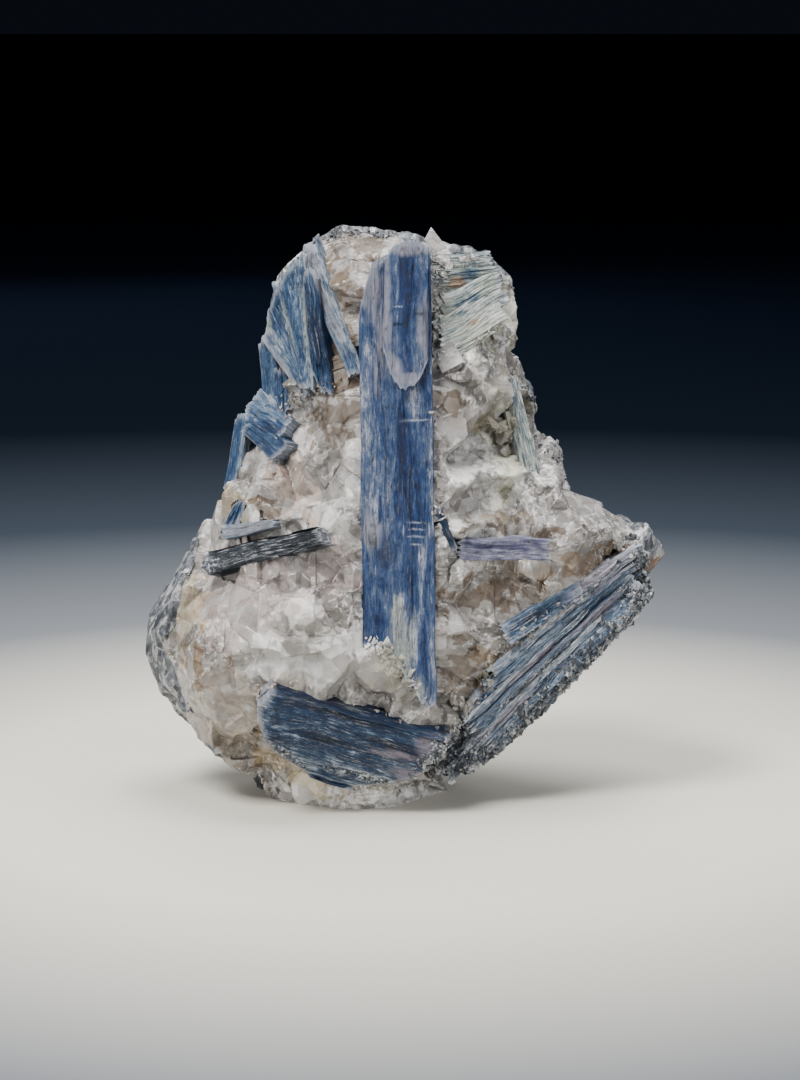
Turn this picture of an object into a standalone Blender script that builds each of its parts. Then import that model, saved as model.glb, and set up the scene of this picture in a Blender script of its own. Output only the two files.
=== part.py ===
"""Kyanite blades in quartz: a hand-sized mineral specimen that stands on a flat at its foot.

Milky and smoky quartz carries the blue kyanite blades, and a rind of mica schist backs it. Every
crystal, or group of crystals grown into each other, is its own solid, let into a pocket of the
quartz and the schist.

The frame: +Z up, the specimen's face towards -Y, and the origin on the flat that it rests on.
Sizes below are in millimetres, and MM turns them into metres.
"""

import math

import bmesh
import bpy
import numpy as np
from mathutils import Matrix, Vector, noise

MM = 0.001
GAP = 0.3  # between a crystal and its pocket, and between the quartz and the schist
PARTING_GAP = 0.5  # how far the schist is moved back from the parting, so that its bends keep GAP too
OPENING = 5  # a pocket is open this far above its crystal's outer face

# ----------------------------------------------------------------------------------------
# The rock's driving dimensions: where its edges and faces lie at several heights, as (height, position).
# ----------------------------------------------------------------------------------------
LEFT_EDGE = [
    (0, -26), (4, -30), (9, -35.5), (15, -41.8), (21, -45.2), (29, -46.6), (35, -45), (42, -41),
    (49, -36.6), (55, -33.6), (62, -29.5), (70, -26.5), (77, -23.8), (86, -23.6), (94, -21.6),
    (99, -19.6), (102, -16), (104.5, -12),
]
RIGHT_EDGE = [
    (0, 8), (4, 11), (12, 18), (18, 23), (24, 29.5), (30, 36), (36, 40.5), (42, 45), (47, 48.6),
    (50.3, 43), (55, 36.2), (59, 32.4), (66, 28), (74, 24.6), (80, 21.8), (92, 19.6), (96, 18.4),
    (99, 15.6), (101, 12.4), (103, 4), (104.5, -4),
]
FRONT_FACE = [
    (0, -17), (5, -21), (15, -24.5), (30, -25.5), (45, -23), (58, -20), (70, -16.5), (85, -14),
    (96, -11.5), (102, -7), (104.5, -2),
]
BACK_FACE = [
    (0, 17), (5, 20), (20, 23), (40, 23), (60, 20), (80, 15.5), (96, 11), (102, 6.5), (104.5, 3),
]
FRONT_RIDGE = [(0, -7), (20, -12), (50, -8), (80, -3), (106, -8)]
BACK_RIDGE = [(0, -8), (40, 2), (80, 0), (106, -8)]
EDGE_DEPTH = {"left": 2, "right": 1}  # how far behind the middle each edge runs

GROUND_SIZE = 200
SUNK = -9  # the loft starts below the flat, which is then cut at height 0
LOFT_STEP = 4  # the height from one girth to the next
AROUND = 48  # points in one girth
LOFT_GRAIN = 1.1  # the side of the even faces that the breaks are cut in
ROCK_TRIANGLES = 2600  # about how many faces the broken rock is thinned to

# The point of quartz that stands on the top edge, and the grain of it at the left of the foot.
POINT = {"middle": (5.9, 3, 102), "radius": 4.6, "height": 6.5, "turn": 32}
KNOB = {"middle": (-22, -6.5, 1.4), "radius": 3.6, "stretch": (1.25, 1, 0.8)}

# Swells and hollows: (x, y, z, radius, rise along the rock's own outward direction).
SWELLS = [
    (-22, -20, 32, 14, 2.0),
    (-12, -24, 10, 14, -3.0),
    (-26, -17, 49, 8, -1.0),
    (-22, -6, 76, 8, 1.5),
    (16, -18, 40, 13, -4.5),
    (19, -15, 22, 10, -2.5),
    (-18, -14, 74, 12, -2.5),
    (10, -14, 66, 9, 1.0),
    (30, -12, 52, 9, 1.5),
    (-6, -14, 88, 9, -1.5),
    (-20, 20, 40, 20, 2.0),
    (20, 20, 60, 18, -2.0),
    (0, 20, 85, 12, 1.5),
]

# The breaks: how far apart they are seated, how much they lean, and how far they jut.
QUARTZ_BREAKS = {"spacing": 6.5, "lean": 0.22, "jut": 1.2, "seed": 4}
SCHIST_BREAKS = {"spacing": 5.0, "lean": 0.16, "jut": 1.3, "seed": 9}
BREAK_REACH = (0.9, 1.9)  # how far each break reaches from its seat, in spacings
HIGHEST = 1.2  # how far a break rises at the most, in juts
DEEPEST = 4  # how far it cuts in at the most
RAISED = 0.6  # how far all of them are then raised
LEAST_TILT = 0.35  # a break reaches no face that is turned further from it than this cosine
GROUND_FADE = 4  # the height over which the breaks fade out, underground
RAGGED_REACH = 0.3  # how far that reach wanders, in spacings
RAGGED_PITCH = 0.35  # how quickly it wanders, per millimetre
SHIFTS = ((0, 0, 0), (31.7, 5.3, 11.9), (7.1, 43.3, 23.9))  # three separate noises from one
FOLIATION_ANGLE = math.radians(58)
FOLIATION = np.array([math.cos(FOLIATION_ANGLE), 0.0, math.sin(FOLIATION_ANGLE)])
DRAWN_OUT = 0.6  # how much longer breaks are along the foliation: their length there counts less by this
LEAN_HELD = 0.7  # how much less they lean along it

# The schist rind: how deep behind the face it lies, and how wide it shows at each edge, by height.
RIND_DEPTH = 11
RIND_TOP_LEAN = 0.3  # how fast the rind comes forward above RIND_TOP
RIND_TOP = 70
RIND_FORWARD = 30  # how far it curls forward at the edges
RIND_CURL = 5.0  # how wide the curl is
RIND_WAVE = {"height": 2.4, "pitch": 0.12}
PARTING_STEP = 7.0
PARTING_SIDES = (-63, 64)
PARTING_HEIGHTS = (-12, 124)
PARTING_REAR = 60
LEFT_RIND = [(0, 6), (12, 6), (25, 8), (38, 6), (50, 1), (60, -4), (106, -6)]
RIGHT_RIND = [(0, 0), (40, 4), (47, 6), (52, 1), (60, 2), (76, 1), (84, -4), (106, -6)]

# ----------------------------------------------------------------------------------------
# Crystals. Each entry is one solid, made of laths that grew into each other. A lath runs from foot
# to tip along the middle of its outer face, is split lengthwise into strips of uneven height, and
# faces the way that facing says. rise is how uneven the strips' heights are, and ragged how uneven
# their ends. foot_cut and tip_cut say how far along the lath its strips start and end, in shares of
# its length, from one side of the lath to the other.
# ----------------------------------------------------------------------------------------
FRONT = (0, -1, 0)
CRYSTALS = {
    "kyanite_main_blade": [
        dict(foot=(0, -24.5, 21.4), tip=(-1.1, -14, 103.6), width=12.8, depth=7.5, strips=6,
             rise=0.7, ragged=1.2, foot_cut=[0.13, 0.12, 0.1, 0.06, 0, 0],
             tip_cut=[0.87, 0.95, 0.985, 1, 1, 0.985]),
        dict(foot=(0.7, -18.6, 78.7), tip=(1.2, -15.2, 104.1), width=7.4, depth=2.6, strips=4, rise=0.35,
             ragged=0.4, foot_cut=[0.22, 0.04, 0, 0.14], tip_cut=[0.95, 1, 1, 0.97]),
    ],
    "kyanite_lower_blade": [
        dict(foot=(-26.7, -26, 17.9), tip=(6.7, -21, 7.2), width=14.8, depth=6, strips=6,
             rise=0.9, ragged=0.8, facing=(-0.1, -0.95, -0.25),
             foot_cut=[0.03, 0.02, 0.05, 0.15, 0.3, 0.45], tip_cut=[1, 0.99, 0.95, 0.87, 0.75, 0.6]),
    ],
    "kyanite_left_dark_blade": [
        dict(foot=(-35.8, -13.2, 45.2), tip=(-13.8, -22, 52.2), width=4.4, width_at_tip=2.9, depth=4,
             strips=3, facing=(-0.3, -0.9, 0.25), rise=0.6, ragged=0.8),
    ],
    "kyanite_left_pale_blades": [
        dict(foot=(-32.5, -11, 50.6), tip=(-23.4, -18, 53.6), width=2.6, depth=3, strips=2,
             facing=(-0.3, -0.9, 0.25)),
        dict(foot=(-31.3, -10.9, 50.8), tip=(-29.2, -10, 56), width=3.2, depth=3, strips=2,
             facing=(-0.4, -0.9, 0.2)),
    ],
    "kyanite_right_small_blade": [
        dict(foot=(11, -18, 48.9), tip=(26.8, -16.5, 48.3), width=3.7, depth=3.5, strips=3, rise=0.4),
    ],
    "kyanite_needle": [
        dict(foot=(7.3, -18.4, 54.6), tip=(9.8, -17.7, 49.2), width=1.2, depth=3, strips=1),
    ],
    "kyanite_upper_left_spray": [
        dict(foot=(-11, -13, 85), tip=(-16.5, -6.5, 102.4), width=3.6, depth=3.4, strips=3, rise=0.4,
             facing=(-0.3, -0.9, 0.2)),
        dict(foot=(-13.4, -11.4, 78.8), tip=(-16.5, -11.3, 93.2), width=3.6, depth=3.5, strips=2,
             facing=(-0.4, -0.9, 0.2)),
        dict(foot=(-14.8, -12, 76.6), tip=(-18.9, -6.2, 100.1), width=3.2, depth=3.5, strips=2,
             facing=(-0.5, -0.8, 0.2)),
        dict(foot=(-17, -11, 77.3), tip=(-21.3, -4.3, 98.5), width=3.2, depth=4, strips=2,
             facing=(-0.6, -0.8, 0.2)),
        dict(foot=(-18.1, -9.6, 78.5), tip=(-23.6, -4.6, 92.6), width=3.2, depth=4, strips=2,
             facing=(-0.7, -0.7, 0.2)),
        dict(foot=(-21.3, -6.8, 84.6), tip=(-24.8, -3.3, 89.2), width=3, depth=4, strips=2,
             facing=(-0.8, -0.6, 0.1)),
    ],
    "kyanite_left_edge_blade": [
        dict(foot=(-23.9, -2.6, 74.6), tip=(-24.4, -2.4, 84.1), width=3.8, depth=5, strips=2,
             facing=(-0.6, -0.8, 0)),
        dict(foot=(-21.8, -5.2, 74.2), tip=(-21.8, -4.2, 79), width=1.8, depth=4, strips=1,
             facing=(-0.3, -1, 0)),
    ],
    "kyanite_left_rim_blade": [
        dict(foot=(-31.8, -3, 58), tip=(-30, 0.4, 70.3), width=3.4, depth=5.5, strips=2,
             facing=(-0.7, -0.7, 0)),
    ],
    "kyanite_left_shoulder_blades": [
        dict(foot=(-21.8, -11, 65.6), tip=(-28.4, -2.9, 70.3), width=4, depth=4.5, strips=3,
             facing=(-0.5, -0.8, 0.2)),
        dict(foot=(-21.3, -8.9, 69.3), tip=(-27.7, -1.6, 73), width=3, depth=4.5, strips=2,
             facing=(-0.5, -0.8, 0.3)),
    ],
    "kyanite_upper_right_spray": [
        dict(foot=(9.4, -11, 91), tip=(18.2, -4, 97.1), width=2.6, depth=3, strips=2,
             facing=(0.45, -0.85, 0.3)),
        dict(foot=(9.2, -11.4, 88.8), tip=(18.4, -5, 92.2), width=2.8, depth=3, strips=2,
             facing=(0.45, -0.85, 0.3)),
        dict(foot=(8.8, -9.9, 94.8), tip=(14.8, -4.4, 100), width=2.8, depth=3, strips=2,
             facing=(0.45, -0.8, 0.4)),
        dict(foot=(9.9, -12.2, 86.1), tip=(18.7, -5.2, 89.8), width=2.4, depth=3, strips=2,
             facing=(0.5, -0.85, 0.2)),
    ],
    "kyanite_right_edge_blade": [
        dict(foot=(24.7, -9.8, 62.5), tip=(20.8, -7, 78.2), width=2.4, depth=3, strips=1,
             facing=(0.6, -0.75, 0)),
    ],
    "kyanite_lower_right_bundle": [
        dict(foot=(9.6, -16, 10), tip=(42.5, -10.5, 41.5), width=11, depth=9, strips=5, rise=1.2,
             ragged=3.5, facing=(0.25, -0.9, -0.3), foot_cut=[0.2, 0.14, 0.08, 0.03, 0],
             tip_cut=[0.98, 1, 1.02, 1.02, 1]),
        dict(foot=(11, -6, 4.5), tip=(45.2, -2.5, 36.6), width=19, depth=9, strips=7, rise=1.2, ragged=4,
             facing=(0.68, -0.12, -0.72)),
        dict(foot=(16, -12.5, 10), tip=(40, -8.5, 34), width=9, depth=8, strips=3, rise=1, ragged=3,
             facing=(0.55, -0.5, -0.65)),
        dict(foot=(19.3, -17.3, 33.2), tip=(32.8, -14.4, 40.4), width=3.8, depth=5, strips=3, rise=0.4),
        dict(foot=(31.1, -13.7, 38.2), tip=(41.6, -12, 45.5), width=2.6, depth=5, strips=2,
             facing=(0.2, -0.9, 0.1)),
    ],
    "kyanite_back_blade_1": [
        dict(foot=(-23, 24, 15), tip=(-9.5, 24.5, 47), width=9, depth=5, strips=4, facing=(-0.1, 1, 0.1)),
    ],
    "kyanite_back_blade_2": [
        dict(foot=(21, 20.5, 28), tip=(8.5, 22.8, 58), width=7, depth=5, strips=3, facing=(0.1, 1, 0.05)),
    ],
    "kyanite_back_blade_3": [
        dict(foot=(-10, 19.6, 72), tip=(9, 11, 92), width=5, depth=4.5, strips=3, facing=(0, 1, 0.25)),
    ],
}
STRIP_OVERLAP = 0.25  # how far each strip runs into the next, at each side
STRIP_DRAFT = 0.25  # how much narrower each strip's outer face is, at each side
END_SKEW = 0.8  # how much a strip's broken ends slant, at the most
BACK_STEP = 0.8  # how uneven the strips' depths are

# Colours of the real materials: base colour, roughness.
FINISHES = {
    "quartz": ((0.66, 0.62, 0.57), 0.35),
    "schist": ((0.2, 0.21, 0.22), 0.6),
    "blue_kyanite": ((0.1, 0.19, 0.4), 0.4),
    "dark_kyanite": ((0.035, 0.07, 0.13), 0.35),
    "pale_kyanite": ((0.33, 0.36, 0.46), 0.45),
}
FINISH_OF = {
    "kyanite_lower_blade": "dark_kyanite",
    "kyanite_left_dark_blade": "dark_kyanite",
    "kyanite_needle": "dark_kyanite",
    "kyanite_right_small_blade": "pale_kyanite",
    "kyanite_upper_right_spray": "pale_kyanite",
    "kyanite_right_edge_blade": "pale_kyanite",
}


def evaluated_copy(source):
    """A new mesh with the source object's modifiers applied."""
    bpy.context.view_layer.update()
    return bpy.data.meshes.new_from_object(source.evaluated_get(bpy.context.evaluated_depsgraph_get()))


def helper(name, mesh):
    """An object that only shapes others."""
    made = bpy.data.objects.new(name, mesh)
    made.hide_render = True
    made.display_type = "WIRE"
    CUTTERS.objects.link(made)
    return made


def mesh_of(name, bm):
    """The mesh in triangles, which are flat however the corners lie."""
    bmesh.ops.triangulate(bm, faces=bm.faces, quad_method="FIXED")
    mesh = bpy.data.meshes.new(name)
    bm.to_mesh(mesh)
    bm.free()
    return mesh


def boolean(target, operation, other, crossing=False):
    """A Boolean modifier with another object, whose own blocks may cross each other if crossing is set."""
    made = target.modifiers.new(f"{operation.lower()}_{other.name}", "BOOLEAN")
    made.operation = operation
    made.object = other
    made.use_self = crossing


# ----------------------------------------------------------------------------------------
# The rock: a loft through its girths, broken into flat faces
# ----------------------------------------------------------------------------------------
def profile(points, height):
    """The position at a height, between the points that are given."""
    heights, values = zip(*points)
    return float(np.interp(height, heights, values))


def girth(height):
    """The rock's outline at one height: four rounded quarters, each from an edge to a face or back."""
    left = Vector((profile(LEFT_EDGE, height), EDGE_DEPTH["left"], height))
    right = Vector((profile(RIGHT_EDGE, height), EDGE_DEPTH["right"], height))
    front = Vector((profile(FRONT_RIDGE, height), profile(FRONT_FACE, height), height))
    back = Vector((profile(BACK_RIDGE, height), profile(BACK_FACE, height), height))
    corners = [left, front, right, back, left]
    points = []
    for side in range(4):
        start, end = corners[side], corners[side + 1]
        if side % 2 == 0:
            middle = Vector((end.x, start.y, height))
        else:
            middle = Vector((start.x, end.y, height))
        for step in range(AROUND // 4):
            turn = math.pi / 2 * step / (AROUND // 4)
            points.append(middle + (start - middle) * math.cos(turn) + (end - middle) * math.sin(turn))
    return points


def lofted_rock():
    """The rock before it is broken, in even four-sided faces."""
    bm = bmesh.new()
    top = LEFT_EDGE[-1][0]
    rings = []
    for height in [SUNK, *np.arange(0, top - 2, LOFT_STEP), top - 1, top]:
        ring = [bm.verts.new(point * MM) for point in girth(max(height, 0))]
        for vert in ring:
            vert.co.z = height * MM
        rings.append(ring)
    for lower, upper in zip(rings, rings[1:]):
        for i in range(AROUND):
            after = (i + 1) % AROUND
            bm.faces.new((lower[i], lower[after], upper[after], upper[i]))
    bm.faces.new(reversed(rings[0]))
    bm.faces.new(rings[-1])
    loft = helper("lofted_rock", mesh_of("lofted_rock", bm))
    even = loft.modifiers.new("even_faces", "REMESH")
    even.mode = "VOXEL"
    even.voxel_size = LOFT_GRAIN * MM
    return evaluated_copy(loft)


def outward(mesh, points):
    """The direction outward from the surface at every point of a mesh of four-sided faces."""
    corners = np.empty(len(mesh.polygons) * 4, dtype=int)
    mesh.loops.foreach_get("vertex_index", corners)
    corners = corners.reshape(-1, 4)
    a, b, c, d = (points[corners[:, k]] for k in range(4))
    faces = np.cross(c - a, d - b)
    normals = np.zeros_like(points)
    for k in range(4):
        np.add.at(normals, corners[:, k], faces)
    return normals / np.linalg.norm(normals, axis=1)[:, None]


def spaced_picks(points, spacing, rng):
    """Indices of points picked at random, none closer to another than the spacing."""
    picks = []
    for index in rng.permutation(len(points)):
        if not picks or np.linalg.norm(points[picks] - points[index], axis=1).min() > spacing:
            picks.append(index)
    return np.array(picks)


def hewn(points, normals, spacing, lean, jut, seed, grain=None):
    """The points moved along their normals on to flat breaks: the lowest of those that reach each.

    The breaks are seated at random, about a spacing apart, and tilted at random. grain, where
    given, is a direction that they are drawn out along.
    """
    rng = np.random.default_rng(seed)

    def measured(where):
        if grain is None:
            return where
        return where - DRAWN_OUT * (where @ grain)[:, None] * grain

    picks = spaced_picks(measured(points), spacing, rng)
    leans = rng.normal(0, lean, (len(picks), 3))
    if grain is not None:
        leans -= LEAN_HELD * (leans @ grain)[:, None] * grain
    facing = normals[picks] + leans
    facing /= np.linalg.norm(facing, axis=1)[:, None]
    seats = points[picks] + normals[picks] * rng.uniform(-jut, jut, len(picks))[:, None]
    spans = spacing * rng.uniform(*BREAK_REACH, len(picks))
    wander = [[noise.noise(Vector(p) * RAGGED_PITCH + Vector(s)) for s in SHIFTS] for p in points]
    placed = measured(points + np.array(wander) * RAGGED_REACH * spacing)
    rise = np.full(len(points), HIGHEST * jut)
    for seat, direction, span in zip(seats, facing, spans):
        tilt = normals @ direction
        near = (np.linalg.norm(placed - measured(seat[None]), axis=1) < span) & (tilt > LEAST_TILT)
        level = ((seat - points[near]) @ direction) / tilt[near]
        rise[near] = np.minimum(rise[near], level)
    rise = np.clip(rise, -DEEPEST * jut, None) + RAISED * jut
    above_ground = np.clip((points[:, 2] - SUNK) / GROUND_FADE - 0.75, 0, 1)
    return points + normals * (rise * above_ground)[:, None]


def parting(x, z):
    """The depth where quartz gives way to schist: inside the rock, but further forward at both edges."""
    from_left = (profile(LEFT_EDGE, z) + profile(LEFT_RIND, z) - x) / RIND_CURL
    from_right = (x - profile(RIGHT_EDGE, z) + profile(RIGHT_RIND, z)) / RIND_CURL
    curl = min(max(from_left, 0), 1) + min(max(from_right, 0), 1)
    wave = noise.noise(Vector((x, z, 3)) * RIND_WAVE["pitch"]) * RIND_WAVE["height"]
    return RIND_DEPTH - RIND_TOP_LEAN * max(0.0, z - RIND_TOP) - RIND_FORWARD * curl + wave


def broken_rock():
    """The whole rock, broken: angular in the quartz, and drawn out along the foliation in the schist."""
    mesh = lofted_rock()
    points = np.empty(len(mesh.vertices) * 3)
    mesh.vertices.foreach_get("co", points)
    points = points.reshape(-1, 3) / MM
    normals = outward(mesh, points)
    for x, y, z, radius, rise in SWELLS:
        away = np.linalg.norm(points - np.array([x, y, z]), axis=1) / radius
        points += normals * (rise * np.exp(-(away**2)))[:, None]
    quartz = hewn(points, normals, **QUARTZ_BREAKS)
    schist = hewn(points, normals, **SCHIST_BREAKS, grain=FOLIATION)
    behind = np.array([y > parting(x, z) for x, y, z in points])
    # Rounded, so that each build gives the same faces.
    points = np.where(behind[:, None], schist, quartz).round(3)
    mesh.vertices.foreach_set("co", (points * MM).ravel())
    mesh.update()
    rock = helper("broken_rock", mesh)
    rock.data.calc_loop_triangles()
    fewer = rock.modifiers.new("fewer_faces", "DECIMATE")
    fewer.ratio = ROCK_TRIANGLES / len(rock.data.loop_triangles)
    for fused in (crystal_point(), foot_knob()):
        boolean(rock, "UNION", fused)
    boolean(rock, "DIFFERENCE", ground())
    return evaluated_copy(rock)


def crystal_point():
    """The four-sided quartz point that stands on the top edge."""
    bm = bmesh.new()
    place = Matrix.Translation(Vector(POINT["middle"]) * MM)
    turn = Matrix.Rotation(math.radians(POINT["turn"]), 4, "Z")
    bmesh.ops.create_cone(
        bm, cap_ends=True, segments=4, radius1=POINT["radius"] * MM, radius2=0,
        depth=POINT["height"] * MM, matrix=place @ turn,
    )
    return helper("crystal_point", mesh_of("crystal_point", bm))


def foot_knob():
    """The grain of quartz that sticks out at the left of the foot."""
    bm = bmesh.new()
    place = Matrix.Translation(Vector(KNOB["middle"]) * MM)
    stretch = Matrix.Diagonal((*KNOB["stretch"], 1))
    bmesh.ops.create_icosphere(bm, subdivisions=1, radius=KNOB["radius"] * MM, matrix=place @ stretch)
    return helper("foot_knob", mesh_of("foot_knob", bm))


def ground():
    """A block under the foot that cuts the flat at height 0."""
    bm = bmesh.new()
    below = Matrix.Translation(Vector((0, 0, -GROUND_SIZE / 2)) * MM)
    bmesh.ops.create_cube(bm, size=GROUND_SIZE * MM, matrix=below)
    return helper("ground", mesh_of("ground", bm))


def rim_of(rows):
    """The outer ring of a grid of points, once round."""
    return rows[0] + [row[-1] for row in rows[1:]] + rows[-1][-2::-1] + [row[0] for row in rows[-2:0:-1]]


def behind_parting(name, back):
    """A block of everything behind the parting surface, with its front moved back by so much."""
    bm = bmesh.new()
    across = np.arange(*PARTING_SIDES, PARTING_STEP)
    up = np.arange(*PARTING_HEIGHTS, PARTING_STEP)
    front = [[bm.verts.new(Vector((x, parting(x, z), z)) * MM) for x in across] for z in up]
    rear = [[bm.verts.new(Vector((x, PARTING_REAR, z)) * MM) for x in across] for z in up]
    for i in range(len(up) - 1):
        for j in range(len(across) - 1):
            bm.faces.new((front[i][j], front[i][j + 1], front[i + 1][j + 1], front[i + 1][j]))
            bm.faces.new((rear[i][j], rear[i + 1][j], rear[i + 1][j + 1], rear[i][j + 1]))
    front_rim, rear_rim = rim_of(front), rim_of(rear)
    for k in range(len(front_rim)):
        after = (k + 1) % len(front_rim)
        bm.faces.new((front_rim[after], front_rim[k], rear_rim[k], rear_rim[after]))
    bm.normal_update()
    for row in front:
        for vert in row:
            vert.co -= vert.normal * (back * MM)
    return helper(name, mesh_of(name, bm))


# ----------------------------------------------------------------------------------------
# The crystals
# ----------------------------------------------------------------------------------------
def strips_of(lath, rng):
    """The lath's strips: their sides, ends and heights in the lath's across, along and out directions."""
    count = lath.get("strips", 1)
    width, depth = lath["width"], lath["depth"]
    narrowing = lath.get("width_at_tip", width) / width
    rise, ragged = lath.get("rise", 0.3), lath.get("ragged", 0.5)
    length = (Vector(lath["tip"]) - Vector(lath["foot"])).length
    made = []
    for k in range(count):
        sides = [(k / count - 0.5) * width - STRIP_OVERLAP, ((k + 1) / count - 0.5) * width + STRIP_OVERLAP]
        share = [k / count, (k + 1) / count]
        places = np.linspace(0, 1, len(lath.get("foot_cut", [0, 0])))
        foot_cut = np.interp(share, places, lath.get("foot_cut", [0, 0])) * length
        places = np.linspace(0, 1, len(lath.get("tip_cut", [1, 1])))
        tip_cut = np.interp(share, places, lath.get("tip_cut", [1, 1])) * length
        made.append(
            dict(
                sides=sides,
                narrowing=narrowing,
                foot=foot_cut + rng.uniform(-ragged, ragged),
                tip=tip_cut + rng.uniform(-ragged, ragged),
                skew=rng.uniform(0, END_SKEW, 2),
                top=-rng.uniform(0, rise),
                bottom=-depth - rng.uniform(0, BACK_STEP),
                length=length,
            )
        )
    return made


def add_strip(bm, strip, place, grow, proud):
    """One strip as a six-sided block with slanting ends, grown all round but at its proud outer face."""
    for vert in bmesh.ops.create_cube(bm, size=2)["verts"]:
        side, end, face = (int(c > 0) for c in vert.co)
        outward = -1 if side == 0 else 1
        cut = strip["tip"] if end else strip["foot"]
        slope = (cut[1] - cut[0]) / (strip["sides"][1] - strip["sides"][0])
        beyond = grow * math.hypot(1, slope) * (1 if end else -1)
        along = cut[side] + outward * slope * grow
        taper = 1 + (strip["narrowing"] - 1) * along / strip["length"]
        across = strip["sides"][side] * taper - (outward * STRIP_DRAFT if face else 0)
        if face:
            along += -strip["skew"][1] if end else strip["skew"][0]
        out = strip["top"] if face else strip["bottom"]
        own = Vector((across + outward * grow, along + beyond, out + (proud if face else -grow)))
        vert.co = place @ (own * MM)


def lath_place(lath):
    """The matrix that puts a lath's across, along and out directions in place."""
    foot, tip = Vector(lath["foot"]), Vector(lath["tip"])
    along = (tip - foot).normalized()
    out = Vector(lath.get("facing", FRONT))
    out = (out - along * out.dot(along)).normalized()
    across = along.cross(out)
    turn = Matrix((across, along, out)).transposed().to_4x4()
    return Matrix.Translation(foot * MM) @ turn


def around(strips):
    """One plain block round a lath's strips."""
    return dict(
        strips[0],
        sides=[strips[0]["sides"][0], strips[-1]["sides"][1]],
        foot=np.repeat(min(strip["foot"].min() for strip in strips), 2),
        tip=np.repeat(max(strip["tip"].max() for strip in strips), 2),
        skew=(0, 0),
        top=max(strip["top"] for strip in strips),
        bottom=min(strip["bottom"] for strip in strips),
    )


def united(name, strips, grow, proud):
    """All the strips as one solid."""
    first, others = bmesh.new(), bmesh.new()
    add_strip(first, *strips[0], grow, proud)
    for strip in strips[1:]:
        add_strip(others, *strip, grow, proud)
    whole = helper(name, mesh_of(name, first))
    other_strips = helper(f"{name}_others", mesh_of(f"{name}_others", others))
    if len(strips) > 1:
        boolean(whole, "UNION", other_strips, crossing=True)
    return evaluated_copy(whole)


def crystal(name, laths, seed):
    """Adds the crystal as one solid, and returns the cutter of its pocket.

    A lath's pocket is one block round it, or a block for each strip where its ends are cut slanting.
    """
    rng = np.random.default_rng(seed)
    strips = []
    pocket = []
    for lath in laths:
        place = lath_place(lath)
        own = [(strip, place) for strip in strips_of(lath, rng)]
        strips += own
        pocket += own if "foot_cut" in lath else [(around([strip for strip, _ in own]), place)]
    add_piece(name, united(f"{name}_strips", strips, 0, 0), FINISH_OF.get(name, "blue_kyanite"))
    return helper(f"{name}_pocket", united(f"{name}_pocket_strips", pocket, GAP, OPENING))


def finish(name):
    """The named material, made on first use."""
    found = bpy.data.materials.get(name)
    if found:
        return found
    colour, roughness = FINISHES[name]
    made = bpy.data.materials.new(name)
    made.use_nodes = True
    shader = made.node_tree.nodes["Principled BSDF"]
    shader.inputs["Base Color"].default_value = (*colour, 1)
    shader.inputs["Roughness"].default_value = roughness
    made.diffuse_color = (*colour, 1)
    return made


def main_body(mesh):
    """Drops the loose chips that cutting left beside the main body."""
    bm = bmesh.new()
    bm.from_mesh(mesh)
    unseen = set(bm.verts)
    bodies = []
    while unseen:
        body = {unseen.pop()}
        edge_of_body = list(body)
        while edge_of_body:
            vert = edge_of_body.pop()
            for edge in vert.link_edges:
                other = edge.other_vert(vert)
                if other not in body:
                    body.add(other)
                    edge_of_body.append(other)
        unseen -= body
        bodies.append(body)
    bodies.sort(key=len)
    for body in bodies[:-1]:
        bmesh.ops.delete(bm, geom=list(body), context="VERTS")
    bm.to_mesh(mesh)
    bm.free()


def merge_flat_faces(mesh):
    """Joins neighbouring faces that lie in one plane, and splits them into as few triangles as will do."""
    bm = bmesh.new()
    bm.from_mesh(mesh)
    bmesh.ops.dissolve_limit(bm, angle_limit=math.radians(0.02), verts=bm.verts, edges=bm.edges)
    bmesh.ops.triangulate(bm, faces=bm.faces)
    bm.to_mesh(mesh)
    bm.free()


def add_piece(name, mesh, material):
    """Adds a finished solid to the specimen."""
    mesh.name = name
    main_body(mesh)
    merge_flat_faces(mesh)
    mesh.materials.clear()
    mesh.materials.append(finish(material))
    SPECIMEN.objects.link(bpy.data.objects.new(name, mesh))


def rock_piece(name, mesh, operation, block, pockets, material):
    """One side of the rock: the part of it outside or inside the parting's block, less the pockets."""
    cut = helper(f"{name}_cut", mesh)
    boolean(cut, operation, block)
    for pocket in pockets:
        boolean(cut, "DIFFERENCE", pocket)
    add_piece(name, evaluated_copy(cut), material)


for item in list(bpy.data.objects):
    bpy.data.objects.remove(item)
SPECIMEN = bpy.data.collections.new("kyanite_blade_cluster")
CUTTERS = bpy.data.collections.new("cutters")
for collection in (SPECIMEN, CUTTERS):
    bpy.context.scene.collection.children.link(collection)

all_pockets = [crystal(name, laths, seed) for seed, (name, laths) in enumerate(CRYSTALS.items())]
broken = broken_rock()
behind = behind_parting("schist_side", 0)
well_behind = behind_parting("schist_side_shy", PARTING_GAP)
rock_piece("quartz_matrix", broken, "DIFFERENCE", behind, all_pockets, "quartz")
rock_piece("schist_rind", broken.copy(), "INTERSECT", well_behind, all_pockets, "schist")
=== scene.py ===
"""Looks for a kyanite blade cluster: blue blades in broken quartz on a rind of mica schist."""

import math
from itertools import product

import bmesh
import bpy
import numpy as np
from mathutils import Euler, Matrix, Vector, noise
from mathutils.bvhtree import BVHTree


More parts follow.
